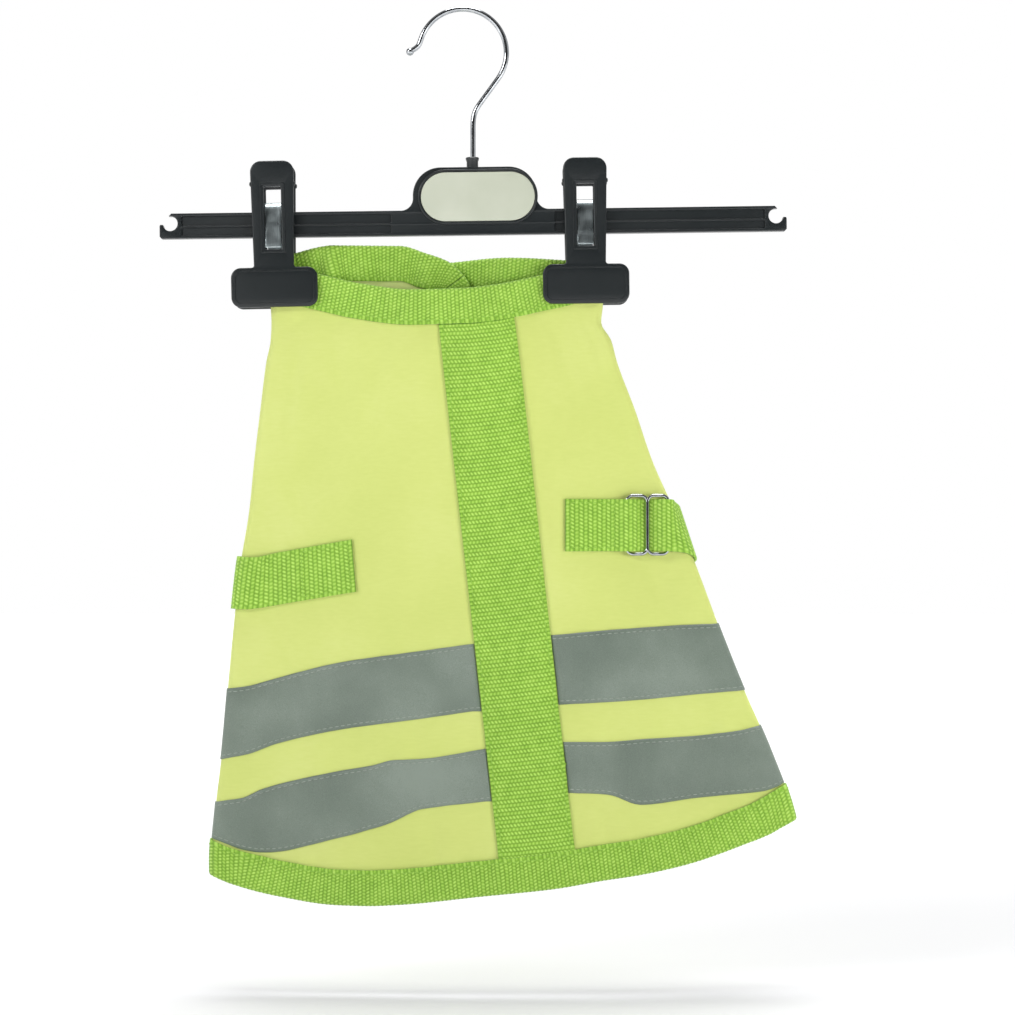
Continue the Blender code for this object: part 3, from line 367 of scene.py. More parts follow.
def puckers(w, z):
    near = np.zeros(np.shape(w))
    for line, low, high in SEAMS:
        away = (z - line(w)) / PUCKER_REACH
        near = np.maximum(near, np.exp(-away * away) * ((w > low) & (w < high)))
    wave = np.sin(2.0 * math.pi * w / PUCKER_PITCH + 2.2 * np.sin(z / 19.0) + 1.7 * np.sin(w / 41.0))
    slow = np.sin(w / 37.0 + 1.1) * np.sin(z / 29.0 + 0.4)
    return PUCKER_DEPTH * wave * near + 0.30 * slow


def surface(w, z):
    """The middle of the cloth at places of the opened-out coat, as an array of points."""
    w, z = np.broadcast_arrays(np.asarray(w, float), np.asarray(z, float))
    left, right = LEFT(z), RIGHT(z)
    x = np.where(w < left, 2.0 * left - w, np.where(w > right, 2.0 * right - w, w))
    front = (w >= left) & (w <= right)
    edge = np.minimum(np.minimum(x - left, right - x), FOLD_RADIUS)
    depth = np.sqrt(np.maximum(edge * (2.0 * FOLD_RADIUS - edge), 0.0))
    spread = SWELL_SPREAD * (right - left)
    swell = (ease((x - left - GRIP_LEFT * GRIP(z)) / spread)
             * ease((right - x - GRIP_RIGHT * GRIP(z)) / spread))
    depth = depth + (np.where(front, FRONT(z), REAR(z)) - FOLD_RADIUS) * swell
    start, full = FLAP_STEP_X
    low, high = FLAP_STEP_Z
    step = FLAP_STEP * ease((start - x) / (start - full)) * ease((z - low) / (high - low))
    depth = depth + np.where(w > right, step, 0.0)
    from_fold = np.minimum(np.abs(w - left), np.abs(w - right))
    near, far = CREASE_FADE
    soft = sum(trough(w, z, crease) for crease in CREASES) * ease((from_fold - near) / (far - near))
    fine = FINE_DEPTH * sum(trough(w, z, crease) for crease in FINE_CREASES) + puckers(w, z)
    depth = depth - soft - fine * ease((from_fold - 3.0) / 9.0)
    return np.stack((x, np.where(front, -1.0, 1.0) * depth, z), axis=-1)


def unit(vectors):
    return vectors / np.maximum(np.linalg.norm(vectors, axis=-1, keepdims=True), 1e-9)


def lifted(w, z, lift):
    """Points moved out from the middle of the cloth, or in where lift is negative."""
    small = 0.01
    across = surface(w + small, z) - surface(w - small, z)
    up = surface(w, z + small) - surface(w, z - small)
    return surface(w, z) + unit(np.cross(across, up)) * np.asarray(lift)[..., None]


def settle(place, top, bottom, shares):
    """Points (w, z) where one column meets rows at shares of the way from top to bottom."""
    z = np.full(len(shares), -250.0)
    for _ in range(60):
        w = place(z)
        z = 0.5 * (z + mix(top(w), bottom(w), shares))
    return place(z), z


def left_edge(z):
    return LEFT(z) - REACH_LEFT(z) + EDGE_INSET


def right_edge(z):
    return RIGHT(z) + REACH_RIGHT(z) - EDGE_INSET


def beside(line, step):
    return lambda z: line(z) + step


def below_neck(inset):
    return lambda w: NECK(w) - inset


def above_hem(inset):
    return lambda w: HEM(w) + inset


def between(start, end, count):
    def one(share):
        return lambda z: mix(start(z), end(z), share)
    return [one((i + 1) / (count + 1)) for i in range(count)]


def fold_steps():
    """Distances from a fold that lie evenly round its bend, then on to the flat cloth."""
    turn = [FOLD_RADIUS * (1.0 - math.cos(math.radians(angle))) for angle in (15, 30, 45, 60, 75, 90)]
    out = turn + [4.4, 6.0, 8.0]
    return [-step for step in reversed(out)] + [0.0] + out


def body_columns():
    steps = fold_steps()
    left_fold = [beside(LEFT, step) for step in steps]
    right_fold = [beside(RIGHT, step) for step in steps]
    left_count, front_count, right_count = BODY_COLUMNS
    left_flap = [left_edge] + between(left_edge, left_fold[0], left_count)
    front = between(left_fold[-1], right_fold[0], front_count)
    right_flap = between(right_fold[-1], right_edge, right_count) + [right_edge]
    return left_flap + left_fold + front + right_fold + right_flap


# Meshes from grids of points

def new_object(name, data):
    thing = bpy.data.objects.new(name, data)
    bpy.context.scene.collection.objects.link(thing)
    return thing


def new_mesh(name, points, faces):
    mesh = bpy.data.meshes.new(name)
    mesh.from_pydata((np.reshape(points, (-1, 3)) * MM).tolist(), [], faces)
    return mesh


def add_piece(name, mesh, slot, *nodes):
    """The mesh as a piece that rides with the coat, in the place of the nodes named."""
    piece = new_object(name, mesh)
    if nodes:
        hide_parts(*nodes)
    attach(piece, "root")
    return piece


def add_wall(piece, thickness, even=False):
    """Thickness for an open sheet, with its last material behind."""
    wall = piece.modifiers.new("wall", "SOLIDIFY")
    wall.thickness = thickness * MM
    wall.offset = 0.0
    wall.use_even_offset = even
    wall.use_quality_normals = even
    wall.material_offset = len(piece.data.materials) - 1


def grid_mesh(name, points, uv=None):
    """A mesh of quads from points[row][column], seen with rows running down and columns right."""
    rows, columns = points.shape[:2]
    index = np.arange(rows * columns).reshape(rows, columns)
    quads = np.stack((index[:-1, :-1], index[1:, :-1], index[1:, 1:], index[:-1, 1:]), axis=-1)
    mesh = new_mesh(name, points, quads.reshape(-1, 4).tolist())
    if uv is not None:
        layer = mesh.uv_layers.new(name="weave")
        corners = np.empty(len(mesh.loops), dtype=np.int32)
        mesh.loops.foreach_get("vertex_index", corners)
        layer.data.foreach_set("uv", uv.reshape(-1, 2)[corners].astype(np.float32).ravel())
    mesh.shade_smooth()
    mesh.update()
    return mesh


def cloth_piece(name, points, uv, thickness, finishes, node, slot, even=True):
    mesh = grid_mesh(name, points, uv)
    for finish in finishes:
        mesh.materials.append(finish)
    piece = add_piece(name, mesh, slot, node)
    add_wall(piece, thickness, even)
    return piece


def lengths(line):
    """Distance along a line of points, from its start."""
    return np.concatenate(([0.0], np.cumsum(np.linalg.norm(np.diff(line, axis=0), axis=1))))


def along_line(values, far, at):
    """Values at distances along a line whose own points lie at distances far."""
    return np.stack([np.interp(at, far, column) for column in np.transpose(values)], axis=-1)


def evened(points, rounds):
    """Lines of points with each point drawn towards its neighbours, but for the ends."""
    for _ in range(rounds):
        points[..., 1:-1, :] = (0.25 * points[..., :-2, :] + 0.5 * points[..., 1:-1, :]
                                + 0.25 * points[..., 2:, :])
    return points


def grid_normals(points):
    return unit(np.cross(np.gradient(points, axis=1), -np.gradient(points, axis=0)))


def even_grid(points, row_step, column_step):
    """Distances of a grid's rows and of its columns from its first corner."""
    rows, columns = points.shape[:2]
    return np.meshgrid(np.arange(rows) * row_step, np.arange(columns) * column_step, indexing="ij")


def webbing_piece(name, points, across, along, thickness, node, grain_size=WEAVE):
    """Webbing with its weave raised on a grid; across and along are distances in the webbing.

    Grains stand in rows square to its length, each row half a grain aside. Its margins have none.
    """
    wide, long = grain_size
    u = np.clip(across, SELVEDGE, across.max() - SELVEDGE) / wide
    v = along / long
    grain = 0.5 + 0.5 * np.cos(2.0 * math.pi * (u + 0.5 * np.floor(v)))
    row = 0.5 - 0.5 * np.cos(2.0 * math.pi * v)
    height = WEAVE_RELIEF * wide / WEAVE[0] * ((0.45 + 0.55 * grain) * row - 0.4)
    woven = points + grid_normals(points) * height[..., None]
    return cloth_piece(name, woven, np.stack((u, v), axis=-1), thickness, [GREEN], node,
                       "green_webbing", even=False)


def ring_faces(rings, sides):
    """Quads between rings of points, one ring after the other."""
    return [(row + i, row + (i + 1) % sides, row + sides + (i + 1) % sides, row + sides + i)
            for row in range(0, (rings - 1) * sides, sides) for i in range(sides)]


def capsule(sides=6):
    """Points and faces of a small rounded thread lying along its first axis."""
    rings = ((-0.36, 0.75), (-0.12, 1.0), (0.12, 1.0), (0.36, 0.75))
    points = []
    for position, radius in rings:
        for i in range(sides):
            angle = 2.0 * math.pi * i / sides
            points.append((position, radius * math.cos(angle), radius * math.sin(angle)))
    start, end = len(points), len(points) + 1
    points += [(-0.5, 0.0, 0.0), (0.5, 0.0, 0.0)]
    last = start - sides
    faces = ring_faces(len(rings), sides)
    for i in range(sides):
        after = (i + 1) % sides
        faces += [(start, after, i), (end, last + i, last + after)]
    return np.array(points), faces


CAPSULE_POINTS, CAPSULE_FACES = capsule()


def stitch_places(line, normals):
    """(middle, direction, normal) of each stitch along a line of points."""
    far = lengths(line)
    count = int(far[-1] / STITCH_PITCH)
    middles = (np.arange(count) + 0.5) * far[-1] / max(count, 1)
    starts, ends = (along_line(line, far, middles + side * STITCH_LENGTH / 2) for side in (-1, 1))
    return zip((starts + ends) / 2, ends - starts, along_line(normals, far, middles))


def stitching(name, runs, finish, slot, radius=STITCH_RADIUS):
    """All stitches of some lines, each (points, normals), as one mesh."""
    points, faces = [], []
    for line, normals in runs:
        for middle, run, normal in stitch_places(line, normals):
            along = unit(run)
            normal = unit(normal - along * np.dot(normal, along))
            basis = np.array((run, np.cross(along, normal) * radius, normal * radius))
            base = len(points) * len(CAPSULE_POINTS)
            points.append(middle + CAPSULE_POINTS @ basis)
            faces += [tuple(base + i for i in face) for face in CAPSULE_FACES]
    mesh = new_mesh(name, points, faces)
    mesh.shade_smooth()
    mesh.materials.append(finish)
    return add_piece(name, mesh, slot)


def seam_line(w, z, lift):
    """A line of stitches over places of the cloth: its points and the directions out of the cloth."""
    points = lifted(w, z, lift)
    return points, unit(points - surface(w, z))


# Materials

class Value:
    """A node's output, which adds, subtracts and multiplies like a number."""

    def __init__(self, nodes, socket):
        self.nodes = nodes
        self.socket = socket

    def __add__(self, other):
        return self.nodes.math("ADD", self, other)

    def __sub__(self, other):
        return self.nodes.math("SUBTRACT", self, other)

    def __rsub__(self, other):
        return self.nodes.math("SUBTRACT", other, self)

    def __mul__(self, other):
        return self.nodes.math("MULTIPLY", self, other)


class Nodes:
    """Short calls for building the node tree of a new material or world."""

    def __init__(self, name, kind="materials"):
        self.owner = getattr(bpy.data, kind).new(name)
        self.owner.use_nodes = True
        self.tree = self.owner.node_tree

    def put(self, node, values):
        """Set a node's inputs, by name or number, to numbers, colours or other nodes' outputs."""
        for name, value in dict(values).items():
            socket = node.inputs[name]
            if isinstance(value, Value):
                self.tree.links.new(value.socket, socket)
            elif value is not None:
                socket.default_value = (*value, 1.0) if socket.type == "RGBA" else value

    def add(self, kind, values=(), output=0, **settings):
        """One output of a new node."""
        node = self.tree.nodes.new("ShaderNode" + kind)
        for name, value in settings.items():
            setattr(node, name, value)
        self.put(node, values)
        return Value(self, node.outputs[output])

    def math(self, operation, *values):
        return self.add("Math", enumerate(values), operation=operation)

    def split(self, place):
        """The x, y and z of a place."""
        node = self.add("SeparateXYZ", {0: place}).socket.node
        return [Value(self, output) for output in node.outputs]

    def uv(self):
        return self.split(self.add("UVMap", uv_map="weave"))[:2]

    def ramp(self, value, low, high, start=0.0, end=1.0):
        """From start to end, smoothly, as the value goes from low to high."""
        values = {"Value": value, "From Min": low, "From Max": high, "To Min": start, "To Max": end}
        return self.add("MapRange", values, interpolation_type="SMOOTHSTEP")

    def colours(self, factor, *stops):
        ramp = self.add("ValToRGB", {0: factor})
        elements = ramp.socket.node.color_ramp.elements
        while len(elements) < len(stops):
            elements.new(0.5)
        for element, (position, colour) in zip(elements, stops):
            element.position = position
            element.color = (*colour, 1.0)
        return ramp

    def blend(self, factor, first, second, mode="MIX"):
        """Two colours mixed. A Mix node has its colours in inputs 6 and 7, and in output 2."""
        return self.add("Mix", {0: factor, 6: first, 7: second}, 2, data_type="RGBA", blend_type=mode)

    def noise(self, scale, detail=3.0, roughness=0.5, stretch=None):
        """Noise in the piece's own place, in features per metre."""
        place = self.add("TexCoord", output="Object")
        if stretch:
            place = self.add("Mapping", {"Vector": place, "Scale": stretch})
        return self.add("TexNoise", {"Vector": place, "Scale": scale, "Detail": detail,
                                     "Roughness": roughness})

    def bump(self, height, distance, strength=1.0, below=None):
        return self.add("Bump", {"Height": height, "Distance": distance, "Strength": strength,
                                 "Normal": below})

    def finish(self, colour, roughness, normal=None, **values):
        """The material with its shader's inputs set. In a name, _ stands for a space."""
        named = {name.replace("_", " "): value for name, value in values.items()}
        self.put(self.tree.nodes["Principled BSDF"],
                 {"Base Color": colour, "Roughness": roughness, "Normal": normal, **named})
        return self.owner


def grain_height(nodes, u, v):
    """Slanted grains in rows: bold ones in one row, rounder and fainter ones in the next."""
    odd = nodes.math("FLOORED_MODULO", nodes.math("FLOOR", v), 2.0)
    within = nodes.math("FRACT", v) - 0.5
    phase = u + within * (odd * -0.60 + 0.15) + odd * 0.5
    floor = odd * -0.16 + 0.36
    grain = nodes.math("COSINE", phase * (2 * math.pi)) * 0.5 + 0.5
    line = nodes.math("MAXIMUM", nodes.math("COSINE", within * math.pi), 0.0)
    return (grain * (1.0 - floor) + floor) * nodes.math("POWER", line, 0.8), odd


def webbing_material(name, dark, middle, light):
    nodes = Nodes(name)
    height, odd = grain_height(nodes, *nodes.uv())
    # The colour follows the grains' height: painted shade in the hollows between the grains and painted
    # light on their crowns, on top of the rows' own pattern and a random tone.
    tone = height * (odd * 0.22 + 0.82) + (nodes.noise(240.0, 2.0) * 0.5 - 0.25)
    colour = nodes.colours(tone, (0.0, dark), (0.42, middle), (0.95, light))
    tint = nodes.colours(nodes.noise(28.0, 2.0), (0.3, (0.92, 0.93, 0.90)), (0.7, WHITE))
    fibre = nodes.noise(2600.0, 2.0, stretch=(1.0, 1.0, 0.35))
    normal = nodes.bump(height, 0.00042, 0.9, nodes.bump(fibre, 0.00012, 0.5))
    return nodes.finish(nodes.blend(1.0, colour, tint, "MULTIPLY"), 0.72, normal,
                        Sheen_Weight=0.12, Sheen_Roughness=0.5)


def yellow_material(name, base, shade, paler):
    """Close plain weave with a faint slub, and slight differences of tone."""
    nodes = Nodes(name)
    across, along = (nodes.math("SINE", way * (2 * math.pi / YELLOW_THREAD)) for way in nodes.uv())
    slub = nodes.noise(900.0, 2.0, stretch=(0.2, 1.0, 1.0))
    tone = nodes.noise(16.0) * 0.75 + slub * 0.25
    colour = nodes.colours(tone, (0.30, shade), (0.52, base), (0.72, paler))
    normal = nodes.bump(slub, 0.00006, 0.4, nodes.bump(across * along, 0.00004, 0.35))
    normal = nodes.bump(nodes.noise(60.0, 3.0, 0.55), 0.0006, 0.35, normal)
    return nodes.finish(colour, 0.62, normal, Sheen_Weight=0.10, Sheen_Roughness=0.4)


def tape_material(name):
    """Grey glass-bead tape: fine grain, soft gloss, thin scuffs."""
    nodes = Nodes(name)
    beads = nodes.noise(2400.0, 2.0, 0.6)
    broad = nodes.noise(22.0)
    colour = nodes.colours(broad * 0.6 + beads * 0.4, (0.36, (0.124, 0.160, 0.128)),
                           (0.50, (0.164, 0.205, 0.166)), (0.64, (0.222, 0.268, 0.224)))
    normal = nodes.bump(nodes.noise(85.0), 0.0008, 0.45, nodes.bump(beads, 0.00005, 0.5))
    return nodes.finish(colour, broad * 0.25 + 0.30, normal, Specular_IOR_Level=0.55)


def thread_material(name, colour):
    nodes = Nodes(name)
    twist = nodes.noise(1800.0, 2.0)
    tone = nodes.colours(twist, (0.3, tuple(0.75 * c for c in colour)), (0.7, colour))
    return nodes.finish(tone, 0.55, nodes.bump(twist, 0.0001, 0.5))


def plastic_material(name):
    """Moulded black plastic with a fine texture, faint flow marks and light scuffs."""
    nodes = Nodes(name)
    broad = nodes.noise(35.0, 4.0)
    scuff = nodes.noise(260.0, 4.0, 0.7, stretch=(0.35, 1.0, 2.2))
    marks = nodes.math("GREATER_THAN", scuff, 0.665) * (broad * 0.9 - 0.2)
    colour = nodes.blend(marks * 0.35, (0.0130, 0.0165, 0.0178), (0.09, 0.095, 0.095))
    normal = nodes.bump(broad, 0.0004, 0.25, nodes.bump(nodes.noise(1500.0, 2.0), 0.00003, 0.5))
    return nodes.finish(colour, broad * 0.18 + 0.24 + marks * 0.25, normal)


def plate_material(name):
    nodes = Nodes(name)
    broad = nodes.noise(40.0)
    colour = nodes.colours(broad, (0.35, (0.495, 0.525, 0.420)), (0.65, (0.540, 0.566, 0.464)))
    normal = nodes.bump(nodes.noise(1400.0, 2.0), 0.00003, 0.4)
    return nodes.finish(colour, broad * 0.12 + 0.36, normal)


def chrome_material(name, rim):
    """Plated wire, a little hazy. The rim tints its gloss at a flat angle; a dark rim paints shade along the
    wire's edges, in place of dark reflections.
    """
    nodes = Nodes(name)
    haze = nodes.noise(300.0)
    colour = nodes.colours(haze, (0.35, (0.40, 0.42, 0.44)), (0.65, (0.54, 0.56, 0.58)))
    return nodes.finish(colour, haze * 0.10 + 0.06, nodes.bump(haze, 0.00003, 0.3), Metallic=1.0,
                        Specular_Tint=rim)


def spring_material(name):
    """Galvanised strip with lengthwise rolling marks."""
    nodes = Nodes(name)
    rolled = nodes.noise(900.0, 3.0, 0.6, stretch=(3.0, 1.0, 0.12))
    spangle = nodes.noise(180.0)
    colour = nodes.colours(rolled * 0.5 + spangle * 0.5, (0.3, (0.37, 0.44, 0.46)),
                           (0.7, (0.70, 0.78, 0.79)))
    return nodes.finish(colour, spangle * 0.30 + 0.18, nodes.bump(rolled, 0.00004, 0.5), Metallic=1.0)


def floor_material(name):
    """White studio floor, painted a little greyer close under the coat, where the lamps are brightest:
    painted shade that evens out their pool of light and deepens the coat's shadow.
    """
    nodes = Nodes(name)
    place = nodes.add("TexCoord", output="Object")
    away = nodes.add("VectorMath", {0: place}, "Value", operation="LENGTH")
    # painted shade: the floor's colour greys from white at 1.30 m to 0.71 at 0.30 m from the middle under
    # the coat
    return nodes.finish(nodes.blend(nodes.ramp(away, 0.30, 1.30), (0.71, 0.71, 0.72), WHITE), 0.85)


YELLOW_THREAD = 0.62        # width of two threads of the yellow cloth
WHITE = (1.0, 1.0, 1.0)
YELLOW = yellow_material("yellow_cloth", (0.600, 0.672, 0.188), (0.560, 0.636, 0.164),
                         (0.635, 0.702, 0.220))
YELLOW_INSIDE = yellow_material("yellow_cloth_inside", (0.640, 0.715, 0.260), (0.600, 0.680, 0.220),
                                (0.680, 0.750, 0.310))
GREEN = webbing_material("green_webbing", (0.170, 0.360, 0.026), (0.300, 0.550, 0.052),
                         (0.520, 0.780, 0.150))
TAPE = tape_material("reflective_tape")
GREEN_THREAD = thread_material("green_thread", (0.330, 0.600, 0.070))
GREY_THREAD = thread_material("grey_thread", (0.330, 0.380, 0.320))
PLASTIC = plastic_material("black_plastic")
PLATE = plate_material("pale_plate")
SLIDER_CHROME = chrome_material("chrome_slider", WHITE)
# painted shade: the hook's dark rim darkens the edges of the wire, standing in for dark reflections
HOOK_CHROME = chrome_material("chrome_hook", (0.22, 0.23, 0.25))
STEEL = spring_material("spring_steel")
FLOOR = floor_material("floor")


# Cloth

def settled_grid(places, top, bottom, shares):
    """Places (w, z) where columns meet rows at shares of the way from top to bottom."""
    columns = [settle(place, top, bottom, shares) for place in places]
    return [np.stack(values, axis=1) for values in zip(*columns)]


def make_body():
    w, z = settled_grid(body_columns(), below_neck(EDGE_INSET), above_hem(EDGE_INSET),
                        np.linspace(0.0, 1.0, BODY_ROWS))
    return cloth_piece("coat_body_cloth", surface(w, z), np.stack((w, z), axis=-1), SHELL_THICK,
                       [YELLOW, YELLOW_INSIDE], "coat_body", "yellow_cloth")


def corner_of(edge, level):
    w, z = settle(edge, level, level, np.array([0.0]))
    return float(w[0]), float(z[0])


def edge_lines():
    """The yellow cloth's outline, clockwise from the left end of the neck: its neck, then the rest."""
    def level_line(level, start, end):
        w = np.linspace(start[0], end[0], 3000)
        return np.stack((w, level(w)), axis=1)

    def side_line(edge, start, end):
        z = np.linspace(start[1], end[1], 2000)
        return np.stack((edge(z), z), axis=1)

    top, bottom = below_neck(EDGE_INSET), above_hem(EDGE_INSET)
    top_left, top_right = corner_of(left_edge, top), corner_of(right_edge, top)
    low_left, low_right = corner_of(left_edge, bottom), corner_of(right_edge, bottom)
    rest = (side_line(right_edge, top_right, low_right), level_line(bottom, low_right, low_left)[1:],
            side_line(left_edge, low_left, top_left)[1:])
    return level_line(top, top_left, top_right), np.concatenate(rest)


def inward(points):
    """Even unit directions into the cloth along a closed clockwise outline of evenly spaced points."""
    run = unit(np.roll(points, -1, axis=0) - np.roll(points, 1, axis=0))
    into = np.stack((run[:, 1], -run[:, 0]), axis=1)
    reach = int(3 * DIRECTION_SPREAD)
    shifts = np.arange(-reach, reach + 1)
    weights = np.exp(-0.5 * (shifts / DIRECTION_SPREAD) ** 2)
    return unit(sum(weight * np.roll(into, shift, axis=0) for weight, shift in zip(weights, shifts)))


def binding_places(stations, into, inset):
    """Places (w, z) of a binding's points, inset from the cloth's edge; it follows a fold it is near."""
    w, z = stations[:, :1], stations[:, 1:]
    left, right = LEFT(z), RIGHT(z)
    from_left, from_right = np.abs(w - left), np.abs(w - right)
    fold_z = z + np.sign(into[:, 1:]) * inset
    shift = np.where(from_left < from_right, LEFT(fold_z) - left, RIGHT(fold_z) - right)
    near, far = FOLD_FOLLOW
    share = ease((np.minimum(from_left, from_right) - near) / (far - near))
    return (mix(w + shift, w + into[:, :1] * inset, share),
            mix(fold_z, z + into[:, 1:] * inset, share))


def binding_profile(step):
    """Inset and lift across the webbing, from the outer leg round the edge to the inner one."""
    turn = math.pi * BINDING_TURN
    whole = 2.0 * BINDING_LEG + turn
    across = np.linspace(0.0, whole, int(round(whole / step)) + 1)
    angle = np.clip((across - BINDING_LEG) / turn, 0.0, 1.0) * math.pi
    outer, inner = across < BINDING_LEG, across > BINDING_LEG + turn
    inset = np.where(outer, BINDING_LEG - across,
                     np.where(inner, across - BINDING_LEG - turn, -BINDING_TURN * np.sin(angle)))
    return inset, BINDING_TURN * np.cos(angle)


def make_binding(name, stations, into, node):
    """The folded webbing along one stretch of the edge, with its row of stitches on both faces."""
    half_wide, half_long = BINDING_WEAVE[0] / 2.0, BINDING_WEAVE[1] / 2.0
    inset, lift = binding_profile(half_wide)
    points = lifted(*binding_places(stations, into, inset), lift).transpose(1, 0, 2)
    across, along = even_grid(points, half_wide, half_long)
    piece = webbing_piece(name, points, across, along, BINDING_THICK, node, BINDING_WEAVE)
    inset = np.array([BINDING_LEG - BINDING_SEAM])
    seam_w, seam_z = (places[:, 0] for places in binding_places(stations, into, inset))
    seam_lift = BINDING_TURN + BINDING_THICK / 2.0 + 0.16
    runs = [seam_line(seam_w, seam_z, side * seam_lift) for side in (1.0, -1.0)]
    sewing = stitching(name + "_stitches", runs, GREEN_THREAD, "green_webbing")


def make_bindings():
    outlines = []
    for line in edge_lines():
        far = lengths(surface(*line.T))
        count = int(round(far[-1] / (BINDING_WEAVE[1] / 2.0)))
        outlines.append(along_line(line, far, np.linspace(0.0, far[-1], count + 1)))
    neck, rest = outlines
    directions = inward(np.concatenate((neck[:-1], rest[:-1])))
    corner = len(neck) - 1
    make_binding("neck_binding_webbing", neck, directions[:corner + 1], "neck_binding")
    make_binding("edge_binding_webbing", rest, np.concatenate((directions[corner:], directions[:1])),
                 "edge_binding")


def band_centre(z):
    return BAND_X + (z - BAND_Z) * BAND_LEAN


def make_band():
    """Flat webbing down the back, with a row of stitches inside each side."""
    steps = int(round(BAND_HALF / HALF_WIDE))
    offsets = np.arange(-steps, steps + 1) * (BAND_HALF / steps)
    inset = BINDING_SHOWS + 0.1
    rows = below_neck(inset), above_hem(inset), np.linspace(0.0, 1.0, BAND_ROWS)
    w, z = settled_grid([beside(band_centre, offset) for offset in offsets], *rows)
    points = lifted(w, z, BAND_LIFT)
    along, across = even_grid(points, HALF_LONG, HALF_WIDE)
    piece = webbing_piece("centre_band_webbing", points, across, along, BAND_THICK, "centre_band")
    runs = []
    for side in (-1.0, 1.0):
        seam = settle(beside(band_centre, side * (BAND_HALF - BAND_SEAM)), *rows)
        runs.append(seam_line(*seam, BAND_LIFT + BAND_THICK / 2.0 + 0.15))
    sewing = stitching("centre_band_stitches", runs, GREEN_THREAD, "green_webbing")


def make_tape(node, table, start, end):
    top, bottom = (column(table, TAPE_COLUMNS, "w", edge) for edge in ("top", "bottom"))
    inner = []
    for place in body_columns():
        w, z = settle(place, top, bottom, np.array([0.0, 1.0]))
        if np.all(start(z) + TAPE_CLEAR < w) and np.all(w < end(z) - TAPE_CLEAR):
            inner.append(place)
    w, z = settled_grid([start] + inner + [end], top, bottom, np.linspace(0.0, 1.0, TAPE_ROWS))
    name = node + "_strip"
    piece = cloth_piece(name, lifted(w, z, TAPE_LIFT), np.stack((w, z), axis=-1), TAPE_THICK, [TAPE],
                        node, "reflective_tape")
    runs = [seam_line(w[row], z[row] - inset, TAPE_LIFT + TAPE_THICK / 2.0 + 0.06)
            for row, inset in ((0, TAPE_SEAM), (-1, -TAPE_SEAM))]
    sewing = stitching(name + "_stitches", runs, GREY_THREAD, "reflective_tape", 0.22)


def make_tapes():
    left_of_band = beside(band_centre, -BAND_HALF - GAP)
    right_of_band = beside(band_centre, BAND_HALF + GAP)
    make_tape("upper_tape_left", UPPER_LEFT_TAPE, beside(left_edge, TAPE_END_INSET), left_of_band)
    make_tape("upper_tape_right", UPPER_RIGHT_TAPE, right_of_band, beside(right_edge, -TAPE_END_INSET))
    make_tape("lower_tape_left", LOWER_LEFT_TAPE, beside(np.zeros_like, LOWER_LEFT_TAPE[0][0]),
              left_of_band)
    make_tape("lower_tape_right", LOWER_RIGHT_TAPE, right_of_band,
              beside(np.zeros_like, LOWER_RIGHT_TAPE[-1][0]))


def slider_plane(x, z):
    return SLIDER_Y + SLIDER_TURN * (x - LOOP_CENTRE_X) + SLIDER_NOD * (z - SLIDER_Z)


def strap_lines(t):
    """Cross-lines of the strap at distances t above its middle, from its right end round the back."""
    def strip(x, y, z):
        return np.stack(np.broadcast_arrays(x, y, z), axis=-1)

    lines = [lifted(x, STRAP_RIGHT_Z + t, STRAP_LIFT) for x in STRAP_RIGHT_X]
    z = STRAP_RIGHT_Z + t
    lines += [strip(x, slider_plane(x, z) - side * SLIDER_CLEAR, z) for x, side in SLIDER_STATIONS]
    turn = STRAP_FOLD_INSETS.index(0.0)
    fold_x, fold_height, fold_lean = STRAP_FOLD
    for i, inset in enumerate(STRAP_FOLD_INSETS):
        z = mix(STRAP_RIGHT_Z, STRAP_FOLD_Z, (i + 1) / (turn + 1)) + t
        y = math.sqrt(inset * (2.0 * STRAP_FOLD_RADIUS - inset)) * (-1.0 if i < turn else 1.0)
        lines.append(strip(fold_x + (z - fold_height) * fold_lean - inset, y, z))
    (start_x, start_z), (end_x, end_z) = STRAP_BACK
    for share in np.arange(STRAP_BACK_COLUMNS) / (STRAP_BACK_COLUMNS - 1):
        x, z = mix(start_x, end_x, share), mix(start_z, end_z, share) + t
        fold = RIGHT if x > 0.0 else LEFT
        lines.append(lifted(2.0 * fold(z) - x, z, STRAP_LIFT_REAR))
    first, last = STRAP_LEFT_STEPS[0], STRAP_LEFT_STEPS[-1]
    z = STRAP_LEFT_Z + t
    for step in STRAP_LEFT_STEPS:
        lift = mix(STRAP_LIFT_REAR, STRAP_LIFT_LEFT, ease((step - first) / (last - first)))
        lines.append(lifted(LEFT(z) + step, z, lift))
    end_x, end_z = STRAP_LEFT_END
    for share in (np.arange(STRAP_LEFT_COLUMNS) + 1) / STRAP_LEFT_COLUMNS:
        x = mix(LEFT(STRAP_LEFT_Z) + last, end_x, share) + STRAP_LEFT_LEAN * share * t
        lines.append(lifted(x, mix(STRAP_LEFT_Z, end_z, share) + t, STRAP_LIFT))
    return np.stack(lines, axis=1)


def smooth_along(points, step):
    """Rows of points through the given columns, made smooth and evenly spaced along the row."""
    far = lengths(points[len(points) // 2])
    at = np.linspace(0.0, far[-1], int(round(far[-1] / step)) + 1)
    i = np.clip(np.searchsorted(far, at, side="right") - 1, 0, len(far) - 2)
    width = np.diff(far)[:, None]
    slopes = np.diff(points, axis=1) / width
    inner = (slopes[:, :-1] * width[1:] + slopes[:, 1:] * width[:-1]) / (width[:-1] + width[1:])
    tangents = np.concatenate((slopes[:, :1], inner, slopes[:, -1:]), axis=1)
    t = (at - far[i])[:, None] / width[i]
    return evened(hermite(points[:, i], points[:, i + 1], tangents[:, i] * width[i],
                          tangents[:, i + 1] * width[i], t), 5)


